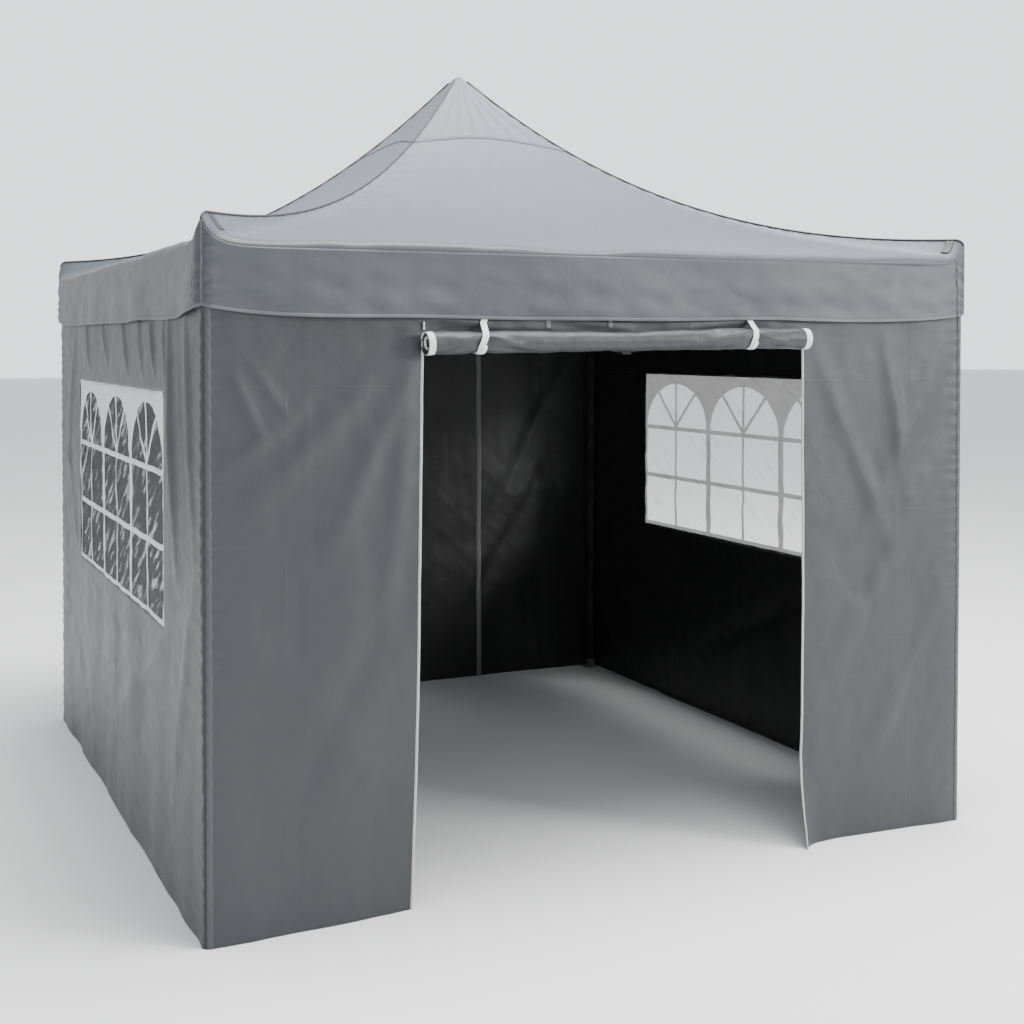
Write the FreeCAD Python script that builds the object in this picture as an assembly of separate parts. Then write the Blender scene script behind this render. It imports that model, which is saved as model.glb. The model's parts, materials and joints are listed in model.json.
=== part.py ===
"""Pop-up garden gazebo: folding scissor-truss frame, peaked canopy, four hung side walls.

Millimetres, +Z up. The origin is the centre of the footprint on the ground. The doorway wall faces -Y.
Everything repeats by quarter turns about Z, so each piece is modelled once, at the front or at the
front-left corner, and turned into place.
"""
import FreeCAD
import Part
import math
import os
from FreeCAD import Rotation, Vector

# ---- driving dimensions ---------------------------------------------------------------------------
CANOPY_HALF = 1500.0        # half the width over the valance
PEAK_HEIGHT = 3030.0        # top of the canopy
EAVE_HEIGHT = 2255.0        # canopy edge at the corners
FRAME_ANGLE = 12.0          # slope of every truss bar when the frame stands open, degrees
WALL_INSET = 15.0           # outer face of the side walls, in from the valance
LEG_INSET = 45.0            # leg centre lines, in from the valance
PIVOT_BELOW_EAVE = 125.0    # upper row of truss pivots

LEG_OUTER = 30.0            # outer leg tube, square
LEG_INNER = 25.0            # inner leg tube, square
LEG_WALL = 1.2
LEG_OUTER_LENGTH = 1565.0   # from the top of the corner bracket down
LEG_OVERLAP = 260.0         # inner tube inside the outer one

BAR_DEPTH = 25.0            # truss bar section, upright side
BAR_THICK = 12.0            # truss bar section, flat side
BAR_WALL = 1.0
BAR_SPACING = 4.0           # gap between two crossing bars

CORNER_REACH = 40.0         # leg centre line to the truss pivot
MID_REACH = 32.0            # middle of a side to the truss pivot
BOLT_RADIUS = 3.0
BOLT_CLEARANCE = 0.08
BOLT_HEAD_RADIUS = 5.5
BOLT_HEAD = 4.0
EAR_THICK = 4.0
EAR_CLEARANCE = 0.5
EAR_RADIUS = 11.0

SLEEVE_WALL = 5.6           # plastic round a leg tube: slider, corner bracket, collar
SLEEVE_CLEARANCE = 0.4
CORNER_BELOW = 35.0         # corner bracket below and above its pivots
CORNER_ABOVE = 75.0
CORNER_ROOF = 5.0
SLIDER_ABOVE = 22.0
SLIDER_BELOW = 58.0
MID_BLOCK = 34.0
MID_BLOCK_HEIGHT = 40.0
COLLAR_HEIGHT = 50.0

PIN_RADIUS = 4.0            # slider release pin
PIN_CLEARANCE = 0.2
PIN_BOSS = 8.0
PIN_BOSS_RADIUS = 8.0
PIN_KNOB_RADIUS = 10.0
PIN_KNOB = 8.0
PIN_DROP = 38.0             # below the slider's truss pivots
PIN_GAP = 0.5               # pin tip to the leg face

HUB_TO_STRUT = 3.5          # hub block to the rounded end of a strut
HUB_HEIGHT = 60.0
MAST_RADIUS = 12.5
MAST_WALL = 2.0
MAST_CLEARANCE = 0.3
MAST_BELOW_HUB = 15.0
MAST_STOP_RADIUS = 17.0
CAP_RADIUS = 20.0
CAP_TRAVEL = 20.0
CAP_STEM = 60.0
CAP_GAP = 0.54              # dome to the inside of the canopy

FOOT_PLATE = 3.0
FOOT_OUT = 20.0             # plate edge from the leg centre line, towards the wall
FOOT_IN = 52.0              # and towards the inside
FOOT_SOCKET = 37.0
FOOT_HOLE_RADIUS = 5.0
FOOT_HOLE_INSET = 36.0      # peg holes from the leg centre line
FOOT_HOLE_NEAR = -8.0

FABRIC = 2.0                # canopy and valance
WALL_FABRIC = 1.5
CANOPY_CURVE = 2.35         # how hollow the canopy's slope is
CANOPY_STATIONS = 14        # points on its slope, closer together near the peak
STATION_CROWDING = 1.3
HIP_GAP = 1.0
VALANCE_BELOW_EAVE = 19.0
VALANCE_DROP = 291.0
WALL_BELOW_PIVOT = 25.0
WALL_HEM = 4.0
WALL_CORNER_GAP = 1.0

DOOR_FROM_LEFT = 710.0      # wall left and right of the doorway, and above it
DOOR_FROM_RIGHT = 750.0
DOOR_HEADER = 243.0
ROLL_RADIUS = 40.0
ROLL_ABOVE_DOOR = 4.0
ROLL_OVERHANG = 5.0
STRAP_WIDTH = 30.0
STRAP_THICK = 1.5
STRAP_FROM_LEFT = 193.0     # strap centres, in from the doorway's edges
STRAP_FROM_RIGHT = 265.0

WINDOW_MARGIN = 580.0       # wall beside the window, with the window in the middle
WINDOW_SHIFT = -20.0
WINDOW_BELOW_WALL = 413.0   # from the wall's top edge
WINDOW_HEIGHT = 802.0
WINDOW_GAP = 0.6

SIDES = ("front", "right", "back", "left")
CORNERS = ("front_left", "front_right", "back_right", "back_left")

# ---- what follows from them -----------------------------------------------------------------------
WALL_HALF = CANOPY_HALF - WALL_INSET
LEG_AXIS = CANOPY_HALF - LEG_INSET
PIVOT_HEIGHT = EAVE_HEIGHT - PIVOT_BELOW_EAVE
LEG_OUTER_BOTTOM = PIVOT_HEIGHT + CORNER_ABOVE - LEG_OUTER_LENGTH
LEG_INNER_TOP = LEG_OUTER_BOTTOM + LEG_OVERLAP
VALANCE_TOP = EAVE_HEIGHT - VALANCE_BELOW_EAVE
VALANCE_HEM = VALANCE_TOP - VALANCE_DROP
WALL_TOP = PIVOT_HEIGHT - WALL_BELOW_PIVOT
DOOR_LEFT = -WALL_HALF + DOOR_FROM_LEFT
DOOR_RIGHT = WALL_HALF - DOOR_FROM_RIGHT
DOOR_TOP = WALL_TOP - DOOR_HEADER
ROLL_HEIGHT = DOOR_TOP + ROLL_ABOVE_DOOR
STRAP_PLACES = (DOOR_LEFT + STRAP_FROM_LEFT, DOOR_RIGHT - STRAP_FROM_RIGHT)
WINDOW_HALF = WALL_HALF - WINDOW_MARGIN
WINDOW_TOP = WALL_TOP - WINDOW_BELOW_WALL
WINDOW_BOTTOM = WINDOW_TOP - WINDOW_HEIGHT
SPAN = LEG_AXIS - CORNER_REACH - MID_REACH
HUB_REACH = CORNER_REACH
HUB_BLOCK = 2 * (HUB_REACH - BAR_DEPTH / 2 - HUB_TO_STRUT)
PEAK_SLOPE = (PEAK_HEIGHT - EAVE_HEIGHT) * CANOPY_CURVE / CANOPY_HALF
BAR_LENGTH = SPAN / math.cos(math.radians(FRAME_ANGLE))
TRUSS_HEIGHT = SPAN * math.tan(math.radians(FRAME_ANGLE))
LOWER_PIVOT = PIVOT_HEIGHT - TRUSS_HEIGHT
BAR_PLANE = (BAR_THICK + BAR_SPACING) / 2
HOLE_RADIUS = BOLT_RADIUS + BOLT_CLEARANCE
SLEEVE_INNER = LEG_OUTER / 2 + SLEEVE_CLEARANCE
SLEEVE_OUTER = SLEEVE_INNER + SLEEVE_WALL
CORNER_U = LEG_AXIS - CORNER_REACH
MID_HALF = MID_BLOCK / 2


def box(x, y, z):
    """A box from three (low, high) pairs."""
    low = Vector(x[0], y[0], z[0])
    return Part.makeBox(x[1] - x[0], y[1] - y[0], z[1] - z[0], low)


def rod(start, axis, radius, length):
    return Part.makeCylinder(radius, length, Vector(*start), Vector(*axis))


def moved(shape, x, y, z):
    out = shape.copy()
    out.translate(Vector(x, y, z))
    return out


def turned(shape, quarter):
    """The shape after that many quarter turns about the middle of the tent."""
    out = shape.copy()
    out.rotate(Vector(0, 0, 0), Vector(0, 0, 1), 90.0 * quarter)
    return out


def across_diagonal(shape):
    """The shape mirrored in the upright plane x = y."""
    return shape.mirror(Vector(0, 0, 0), Vector(1, -1, 0))


def square_tube(half, wall, z):
    inner = half - wall
    solid = box((-half, half), (-half, half), z)
    return solid.cut(box((-inner, inner), (-inner, inner), z))


# ---- truss ----------------------------------------------------------------------------------------
def bar_at_origin():
    """A truss bar along +X from its first pivot: a flat tube with rounded ends and three bolt holes."""
    depth = BAR_DEPTH / 2
    thick = BAR_THICK / 2
    solid = box((0, BAR_LENGTH), (-thick, thick), (-depth, depth))
    for x in (0, BAR_LENGTH):
        solid = solid.fuse(rod((x, -thick, 0), (0, 1, 0), depth, BAR_THICK))
    inside = thick - BAR_WALL
    solid = solid.cut(box((-depth, BAR_LENGTH + depth), (-inside, inside),
                          (-depth + BAR_WALL, depth - BAR_WALL)))
    for x in (0, BAR_LENGTH / 2, BAR_LENGTH):
        solid = solid.cut(rod((x, -BAR_THICK, 0), (0, 1, 0), HOLE_RADIUS, 2 * BAR_THICK))
    return solid


def bar(x, y, z, slope, towards):
    """A bar whose first pivot is at x, y, z, running towards +X (1) or -X (-1), rising by slope degrees."""
    out = bar_at_origin()
    out.rotate(Vector(0, 0, 0), Vector(0, 1, 0), -slope)
    if towards < 0:
        out.rotate(Vector(0, 0, 0), Vector(0, 0, 1), 180)
    return moved(out, x, y, z)


def bolt(x, y, z, half_grip):
    """A bolt along Y: a shaft with a head and a nut outside its grip."""
    total = 2 * (half_grip + BOLT_HEAD)
    shaft = rod((x, y - total / 2, z), (0, 1, 0), BOLT_RADIUS, total)
    for side in (-1, 1):
        start = y + side * half_grip
        shaft = shaft.fuse(rod((x, start, z), (0, side, 0), BOLT_HEAD_RADIUS, BOLT_HEAD))
    return shaft


EAR_FACE = BAR_THICK / 2 + EAR_CLEARANCE
GRIP = EAR_FACE + EAR_THICK


def ears(start, pivot, y, z):
    """Two ears along X, either side of a bar centred at y, from start to a rounded end round the pivot."""
    low, high = sorted((start, pivot))
    both = None
    for side in (-1, 1):
        near, far = sorted((y + side * EAR_FACE, y + side * GRIP))
        ear = box((low, high), (near, far), (z - EAR_RADIUS, z + EAR_RADIUS))
        ear = ear.fuse(rod((pivot, near, z), (0, 1, 0), EAR_RADIUS, EAR_THICK))
        both = ear if both is None else both.fuse(ear)
    return both


def drilled(shape, pivot, y, z):
    return shape.cut(rod((pivot, y - 2 * GRIP, z), (0, 1, 0), HOLE_RADIUS, 4 * GRIP))


def high_bars():
    """The front's two bars from the lower middle joint up to the leg tops."""
    y = -(LEG_AXIS + BAR_PLANE)
    grip = BAR_THICK + BAR_SPACING / 2 + EAR_CLEARANCE
    out = []
    for side in (-1, 1):
        rivet = bolt(side * (MID_REACH + SPAN / 2), -LEG_AXIS, PIVOT_HEIGHT - TRUSS_HEIGHT / 2, grip)
        solid = bar(side * MID_REACH, y, LOWER_PIVOT, FRAME_ANGLE, side)
        out.append(Part.makeCompound([solid, rivet]))
    return out


def low_bars():
    """The front's two bars from the upper middle joint down to the sliders."""
    y = -(LEG_AXIS - BAR_PLANE)
    return [bar(side * MID_REACH, y, PIVOT_HEIGHT, -FRAME_ANGLE, side) for side in (-1, 1)]


def strut():
    """The front's centre strut, from the hub down to the lower middle joint."""
    out = bar(HUB_REACH, 0, PIVOT_HEIGHT, -FRAME_ANGLE, 1)
    out.rotate(Vector(0, 0, 0), Vector(0, 0, 1), -90)
    return out


def inward_ears(z):
    """Ears on the front's lower middle joint for the centre strut, drilled, with their bolt."""
    out = ears(MID_HALF, MID_REACH, 0, 0)
    out = drilled(out, MID_REACH, 0, 0)
    pin = bolt(MID_REACH, 0, 0, GRIP)
    placed = []
    for shape in (out, pin):
        shape.rotate(Vector(0, 0, 0), Vector(0, 0, 1), 90)
        placed.append(moved(shape, 0, -LEG_AXIS, z))
    return placed


def mid_joint(z, y, with_strut):
    """A middle joint: a block on the leg line with ears for the side bars, and for the strut if asked."""
    block = box((-MID_HALF, MID_HALF), (-LEG_AXIS - MID_HALF, -LEG_AXIS + MID_HALF),
                (z - MID_BLOCK_HEIGHT / 2, z + MID_BLOCK_HEIGHT / 2))
    solids = []
    for side in (-1, 1):
        block = block.fuse(ears(side * MID_HALF, side * MID_REACH, y, z))
    for side in (-1, 1):
        block = drilled(block, side * MID_REACH, y, z)
        solids.append(bolt(side * MID_REACH, y, z, GRIP))
    if with_strut:
        arms, pin = inward_ears(z)
        block = block.fuse(arms)
        solids.append(pin)
    return Part.makeCompound([block.removeSplitter()] + solids)


def hub():
    """The centre hub: a block bored for the mast, with ears for the four struts."""
    half = HUB_BLOCK / 2
    z = (PIVOT_HEIGHT - HUB_HEIGHT / 2, PIVOT_HEIGHT + HUB_HEIGHT / 2)
    block = box((-half, half), (-half, half), z)
    block = block.cut(rod((0, 0, z[0]), (0, 0, 1), MAST_RADIUS + MAST_CLEARANCE, HUB_HEIGHT))
    arm = drilled(ears(half, HUB_REACH, 0, PIVOT_HEIGHT), HUB_REACH, 0, PIVOT_HEIGHT)
    pin = bolt(HUB_REACH, 0, PIVOT_HEIGHT, GRIP)
    for quarter in range(4):
        block = block.fuse(turned(arm, quarter))
    return Part.makeCompound([block] + [turned(pin, quarter) for quarter in range(4)])


# ---- mast -----------------------------------------------------------------------------------------
MAST_BOTTOM = PIVOT_HEIGHT - HUB_HEIGHT / 2 - MAST_BELOW_HUB
CAP_CENTRE = PEAK_HEIGHT - FABRIC - CAP_GAP - CAP_RADIUS * math.hypot(1, PEAK_SLOPE)
MAST_TOP = CAP_CENTRE - CAP_TRAVEL - 1


def mast():
    stop_height = MAST_BELOW_HUB - SLEEVE_CLEARANCE
    tube = rod((0, 0, MAST_BOTTOM), (0, 0, 1), MAST_RADIUS, MAST_TOP - MAST_BOTTOM)
    tube = tube.fuse(rod((0, 0, MAST_BOTTOM), (0, 0, 1), MAST_STOP_RADIUS, stop_height))
    return tube.cut(rod((0, 0, MAST_BOTTOM), (0, 0, 1), MAST_RADIUS - MAST_WALL, MAST_TOP - MAST_BOTTOM))


def mast_cap():
    """The sprung dome that lifts the canopy, with its stem inside the mast."""
    dome = Part.makeSphere(CAP_RADIUS, Vector(0, 0, CAP_CENTRE), Vector(0, 0, 1), 0, 90, 360)
    stem = rod((0, 0, CAP_CENTRE - CAP_STEM), (0, 0, 1), MAST_RADIUS - MAST_WALL - BOLT_CLEARANCE * 2, CAP_STEM)
    return dome.fuse(stem)


# ---- legs, modelled with the leg's centre line at the origin ---------------------------------------
def fork_pair(shape, start, y, z):
    """Ears towards +X and, mirrored, towards +Y, drilled and with their bolts."""
    arm = ears(start, CORNER_REACH, y, z)
    shape = shape.fuse(arm).fuse(across_diagonal(arm))
    drill = rod((CORNER_REACH, y - 2 * GRIP, z), (0, 1, 0), HOLE_RADIUS, 4 * GRIP)
    shape = shape.cut(drill).cut(across_diagonal(drill))
    pin = bolt(CORNER_REACH, y, z, GRIP)
    return shape.removeSplitter(), [pin, across_diagonal(pin)]


def sleeve(z, inner=SLEEVE_INNER):
    outer = box((-SLEEVE_OUTER, SLEEVE_OUTER), (-SLEEVE_OUTER, SLEEVE_OUTER), z)
    return outer.cut(box((-inner, inner), (-inner, inner), z))


def outer_leg():
    """The fixed upper leg tube with the corner bracket on its top and the collar on its bottom."""
    top = PIVOT_HEIGHT + CORNER_ABOVE
    roof = top - CORNER_ROOF
    tube = square_tube(LEG_OUTER / 2, LEG_WALL, (LEG_OUTER_BOTTOM, roof - SLEEVE_CLEARANCE))
    bracket = sleeve((PIVOT_HEIGHT - CORNER_BELOW, roof))
    bracket = bracket.fuse(box((-SLEEVE_OUTER, SLEEVE_OUTER), (-SLEEVE_OUTER, SLEEVE_OUTER), (roof, top)))
    bracket, pins = fork_pair(bracket, SLEEVE_OUTER, -BAR_PLANE, PIVOT_HEIGHT)
    middle = LEG_OUTER_BOTTOM - SLEEVE_CLEARANCE
    half = COLLAR_HEIGHT / 2
    collar = sleeve((middle, middle + half))
    collar = collar.fuse(sleeve((middle - half, middle), LEG_INNER / 2 + SLEEVE_CLEARANCE))
    return Part.makeCompound([tube, bracket, collar] + pins)


def inner_leg():
    """The telescoping lower leg with its foot plate."""
    tube = square_tube(LEG_INNER / 2, LEG_WALL, (FOOT_PLATE + SLEEVE_CLEARANCE, LEG_INNER_TOP))
    foot = box((-FOOT_OUT, FOOT_IN), (-FOOT_OUT, FOOT_IN), (0, FOOT_PLATE))
    inner = LEG_INNER / 2 + SLEEVE_CLEARANCE
    outer = inner + 2 * FOOT_PLATE
    socket = box((-outer, outer), (-outer, outer), (FOOT_PLATE, FOOT_PLATE + FOOT_SOCKET))
    socket = socket.cut(box((-inner, inner), (-inner, inner), (FOOT_PLATE, FOOT_PLATE + FOOT_SOCKET)))
    foot = foot.fuse(socket)
    for y in (FOOT_HOLE_NEAR, FOOT_HOLE_INSET):
        foot = foot.cut(rod((FOOT_HOLE_INSET, y, 0), (0, 0, 1), FOOT_HOLE_RADIUS, FOOT_PLATE))
    return Part.makeCompound([tube, foot])


PIN_Z = LOWER_PIVOT - PIN_DROP


def slider():
    """The sliding bracket on the outer leg, with a boss for its release pin."""
    body = sleeve((LOWER_PIVOT - SLIDER_BELOW, LOWER_PIVOT + SLIDER_ABOVE))
    body = body.fuse(rod((SLEEVE_OUTER, 0, PIN_Z), (1, 0, 0), PIN_BOSS_RADIUS, PIN_BOSS))
    body = body.cut(rod((0, 0, PIN_Z), (1, 0, 0), PIN_RADIUS + PIN_CLEARANCE, SLEEVE_OUTER + 2 * PIN_BOSS))
    body, pins = fork_pair(body, SLEEVE_OUTER, BAR_PLANE, LOWER_PIVOT)
    return Part.makeCompound([body] + pins)


def slider_pin():
    """The pull pin that frees the slider."""
    start = LEG_OUTER / 2 + PIN_GAP
    knob_at = SLEEVE_OUTER + PIN_BOSS + PIN_CLEARANCE
    pin = rod((start, 0, PIN_Z), (1, 0, 0), PIN_RADIUS, knob_at - start)
    return pin.fuse(rod((knob_at, 0, PIN_Z), (1, 0, 0), PIN_KNOB_RADIUS, PIN_KNOB))


def at_corner(shape, quarter):
    return turned(moved(shape, -LEG_AXIS, -LEG_AXIS, 0), quarter)


# ---- canopy and walls -----------------------------------------------------------------------------
def canopy_height(reach):
    """Height of the canopy's outer face at a distance from the peak, measured square to a side."""
    rise = PEAK_HEIGHT - EAVE_HEIGHT
    return EAVE_HEIGHT + rise * (1 - reach / CANOPY_HALF) ** CANOPY_CURVE


def canopy_panel():
    """The front quarter of the canopy: a hollow slope, cut to the two hips."""
    edge = CANOPY_HALF - FABRIC - HIP_GAP
    shares = [i / CANOPY_STATIONS for i in range(CANOPY_STATIONS + 1)]
    reach = [edge * share ** STATION_CROWDING for share in shares]
    top = [Vector(0, -r, canopy_height(r)) for r in reach]
    low = [p - Vector(0, 0, FABRIC) for p in top]
    curves = []
    for points in (top, low):
        curve = Part.BSplineCurve()
        curve.interpolate(points)
        curves.append(curve.toShape())
    ends = [Part.makeLine(top[0], low[0]), Part.makeLine(top[-1], low[-1])]
    face = Part.Face(Part.Wire([curves[0], ends[1], curves[1], ends[0]]))
    strip = face.extrude(Vector(2 * edge, 0, 0))
    strip.translate(Vector(-edge, 0, 0))
    corner = [Vector(0, -HIP_GAP, 0), Vector(-CANOPY_HALF, -CANOPY_HALF - HIP_GAP, 0),
              Vector(CANOPY_HALF, -CANOPY_HALF - HIP_GAP, 0), Vector(0, -HIP_GAP, 0)]
    wedge = Part.Face(Part.makePolygon(corner)).extrude(Vector(0, 0, 2 * PEAK_HEIGHT))
    return strip.common(wedge)


def valance():
    """Four straight flaps hanging from the canopy's edge."""
    end = CANOPY_HALF - FABRIC - WALL_CORNER_GAP
    flap = box((-end, end), (-CANOPY_HALF, -CANOPY_HALF + FABRIC), (VALANCE_HEM, VALANCE_TOP))
    return Part.makeCompound([turned(flap, quarter) for quarter in range(4)])


def plain_wall():
    end = WALL_HALF - WALL_FABRIC - WALL_CORNER_GAP
    return box((-end, end), (-WALL_HALF, -WALL_HALF + WALL_FABRIC), (WALL_HEM, WALL_TOP))


def front_wall():
    """The doorway wall: the door is an opening down to the ground."""
    return plain_wall().cut(box((DOOR_LEFT, DOOR_RIGHT), (-CANOPY_HALF, -LEG_AXIS), (0, DOOR_TOP)))


def window_cut(gap):
    """The window opening in a wall at the front, grown inwards by gap on every side."""
    x = (WINDOW_SHIFT - WINDOW_HALF + gap, WINDOW_SHIFT + WINDOW_HALF - gap)
    return box(x, (-WALL_HALF, -WALL_HALF + WALL_FABRIC), (WINDOW_BOTTOM + gap, WINDOW_TOP - gap))


def window_wall(quarter):
    wall = plain_wall().cut(window_cut(0))
    if quarter == 3:
        wall = wall.mirror(Vector(0, 0, 0), Vector(1, 0, 0))
    return turned(wall, quarter)


def window(quarter):
    pane = window_cut(WINDOW_GAP)
    if quarter == 3:
        pane = pane.mirror(Vector(0, 0, 0), Vector(1, 0, 0))
    return turned(pane, quarter)


ROLL_Y = -(WALL_HALF + WALL_FABRIC + ROLL_RADIUS)


def door_roll():
    """The rolled-up door, hanging in front of the wall over the doorway."""
    left = DOOR_LEFT - ROLL_OVERHANG
    length = DOOR_RIGHT + ROLL_OVERHANG - left
    return rod((left, ROLL_Y, ROLL_HEIGHT), (1, 0, 0), ROLL_RADIUS, length)


def door_straps():
    """Two webbing loops that hold the roll up, hung from the wall above it."""
    gap = EAR_CLEARANCE
    loops = []
    for x in STRAP_PLACES:
        start = (x - STRAP_WIDTH / 2, ROLL_Y, ROLL_HEIGHT)
        loop = rod(start, (1, 0, 0), ROLL_RADIUS + gap + STRAP_THICK, STRAP_WIDTH)
        tab = box((start[0], start[0] + STRAP_WIDTH),
                  (-WALL_HALF - STRAP_THICK - gap, -WALL_HALF - gap),
                  (ROLL_HEIGHT, ROLL_HEIGHT + 2 * ROLL_RADIUS))
        loop = loop.fuse(tab)
        loop = loop.cut(rod((start[0] - 1, ROLL_Y, ROLL_HEIGHT), (1, 0, 0), ROLL_RADIUS + gap, STRAP_WIDTH + 2))
        front = box((start[0], start[0] + STRAP_WIDTH), (-WALL_HALF - gap, -LEG_AXIS),
                    (ROLL_HEIGHT - 2 * ROLL_RADIUS, ROLL_HEIGHT + 2 * ROLL_RADIUS))
        loops.append(loop.cut(front))
    return Part.makeCompound(loops)


def pieces():
    """Every node's name and shape."""
    out = {"centre_hub": hub(), "mast": mast(), "mast_cap": mast_cap()}
    joints = {"mid_joint_lower": mid_joint(LOWER_PIVOT, -(LEG_AXIS + BAR_PLANE), True),
              "mid_joint_upper": mid_joint(PIVOT_HEIGHT, -(LEG_AXIS - BAR_PLANE), False)}
    high, low, centre = high_bars(), low_bars(), strut()
    panel = canopy_panel()
    for quarter, side in enumerate(SIDES):
        out["centre_strut_" + side] = turned(centre, quarter)
        for name, shape in joints.items():
            out[name + "_" + side] = turned(shape, quarter)
        for i, half in enumerate(("a", "b")):
            out["truss_bar_high_" + side + "_" + half] = turned(high[i], quarter)
            out["truss_bar_low_" + side + "_" + half] = turned(low[i], quarter)
        out["canopy_panel_" + side] = turned(panel, quarter)
    legs = {"outer_leg": outer_leg(), "inner_leg": inner_leg(), "slider": slider(), "slider_pin": slider_pin()}
    for quarter, corner in enumerate(CORNERS):
        for name, shape in legs.items():
            out[name + "_" + corner] = at_corner(shape, quarter)
    out["valance"] = valance()
    out["wall_front"] = front_wall()
    out["wall_back"] = turned(plain_wall(), 2)
    for quarter in (1, 3):
        out["wall_" + SIDES[quarter]] = window_wall(quarter)
        out["window_" + SIDES[quarter]] = window(quarter)
    out["door_roll"] = door_roll()
    out["door_straps"] = door_straps()
    return out


os.makedirs("parts", exist_ok=True)
for node, shape in pieces().items():
    shape.exportStep("parts/" + node + ".step")
    box_of = shape.BoundBox
    print(node, shape.isValid(), len(shape.Solids), round(shape.Volume / 1000),
          [round(v) for v in (box_of.XMin, box_of.XMax, box_of.YMin, box_of.YMax, box_of.ZMin, box_of.ZMax)])
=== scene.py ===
# %% [markdown]
# # A pop-up gazebo with four hung walls
# The steel frame inside comes ready made, with its joints. This lesson sews the cloth on it: a peaked
# canopy, a valance, four walls, two printed windows and a rolled-up door, and then finishes the steel
# and the plastic. Every cloth piece is a grid of points that a short formula puts in place, because a
# formula can be read, measured and changed, where a sculpted mesh cannot.

# %% Load the frame
import json
import math

import bmesh
import bpy
import numpy as np
from mathutils import Matrix, Vector

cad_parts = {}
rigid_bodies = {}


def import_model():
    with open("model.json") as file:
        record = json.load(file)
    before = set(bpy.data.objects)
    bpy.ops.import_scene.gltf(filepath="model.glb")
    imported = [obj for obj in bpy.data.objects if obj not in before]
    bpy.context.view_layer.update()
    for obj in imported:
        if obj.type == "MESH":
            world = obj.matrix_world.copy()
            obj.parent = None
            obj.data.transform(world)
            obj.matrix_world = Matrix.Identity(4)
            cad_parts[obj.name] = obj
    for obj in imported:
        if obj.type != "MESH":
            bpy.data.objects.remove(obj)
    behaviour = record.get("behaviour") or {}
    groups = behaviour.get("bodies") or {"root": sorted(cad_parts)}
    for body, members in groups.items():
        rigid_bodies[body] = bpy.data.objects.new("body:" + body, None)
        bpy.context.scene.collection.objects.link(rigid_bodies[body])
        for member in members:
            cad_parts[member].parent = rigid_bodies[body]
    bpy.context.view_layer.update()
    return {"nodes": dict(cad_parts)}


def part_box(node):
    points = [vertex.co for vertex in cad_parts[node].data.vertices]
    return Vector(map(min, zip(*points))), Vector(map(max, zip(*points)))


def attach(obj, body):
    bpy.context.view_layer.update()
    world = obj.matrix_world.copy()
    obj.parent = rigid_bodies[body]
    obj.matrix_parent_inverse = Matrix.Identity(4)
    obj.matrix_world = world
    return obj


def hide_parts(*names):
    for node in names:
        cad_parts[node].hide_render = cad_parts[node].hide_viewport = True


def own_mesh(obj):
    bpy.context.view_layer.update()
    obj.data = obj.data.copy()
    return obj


for leftover in list(bpy.data.objects):
    bpy.data.objects.remove(leftover)
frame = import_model()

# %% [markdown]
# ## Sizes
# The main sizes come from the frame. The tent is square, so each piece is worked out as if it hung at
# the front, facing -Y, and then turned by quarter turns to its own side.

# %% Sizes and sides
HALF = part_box("valance")[1][0]
WALL_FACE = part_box("wall_back")[1][1]
WALL_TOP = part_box("wall_back")[1][2]
WALL_HEM = 0.0
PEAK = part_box("canopy_panel_front")[1][2]
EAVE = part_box("canopy_panel_front")[0][2]
CANOPY_CORNER, WALL_CORNER = 0.05, 0.018
SIDES = {"front": 0, "right": 1, "back": 2, "left": 3}
CLOTH = 0.0012
print("half width", round(HALF, 3), "peak", round(PEAK, 3), "eave", round(EAVE, 3))


def hand_name(hand):
    return "right" if hand > 0 else "left"


def quarter_turn(points, quarter):
    """Points turned about the tent's middle by that many quarter turns."""
    x, y, z = points
    for _ in range(quarter):
        x, y = -y, x
    return x, y, z


def flat_half(half, radius):
    """Half the flat length of a side that ends in the middle of two rounded corners."""
    return half - radius + radius * math.pi / 4


def corner_bend(along, half, radius):
    """Where a flat measure along a side comes to lie, and how far a rounded corner draws it in."""
    angle = np.maximum((np.abs(along) - (half - radius)) / radius, 0)
    place = np.where(angle > 0, np.sign(along) * (half - radius + radius * np.sin(angle)), along)
    return place, radius * (1 - np.cos(angle))


# %% [markdown]
# ## Folds, ripples and puckers
# Coated polyester hangs almost flat. What shows is soft: wide ripples, long slack folds from the held
# corners, faint ridges where it lay folded in its bag, and small puckers beside every seam. Each is a
# function of the place on the cloth, in metres, and the pieces below add them up.

# %% Ripples, folds and puckers
def ripples(a, b, size, seed, count=9):
    """Smooth random waves of about that size, mostly between -1 and 1, the same on every run."""
    rng = np.random.default_rng(seed)
    total = 0.0
    for _ in range(count):
        angle, phase = rng.uniform(0, 2 * math.pi, 2)
        length = size * rng.uniform(0.6, 1.7)
        total = total + np.sin(2 * math.pi * (a * math.cos(angle) + b * math.sin(angle)) / length + phase)
    return total / math.sqrt(count)


def fold(a, b, start, end, width):
    """1 along a line from start to end, fading over width to its sides and towards its ends."""
    da, db = end[0] - start[0], end[1] - start[1]
    length = math.hypot(da, db)
    along = ((a - start[0]) * da + (b - start[1]) * db) / length ** 2
    across = ((a - start[0]) * db - (b - start[1]) * da) / length
    taper = np.sin(math.pi * np.clip(along, 0, 1)) ** 0.6
    return np.exp(-(across / width) ** 2) * taper


def pucker(distance, along, reach, pitch, seed):
    """Short ripples that run away from a seam and die out within reach."""
    wander = 0.35 * ripples(along, 0 * along, pitch * 5, seed)
    return np.sin(2 * math.pi * (along / pitch + wander)) * np.exp(-np.abs(distance) / reach)


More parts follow.
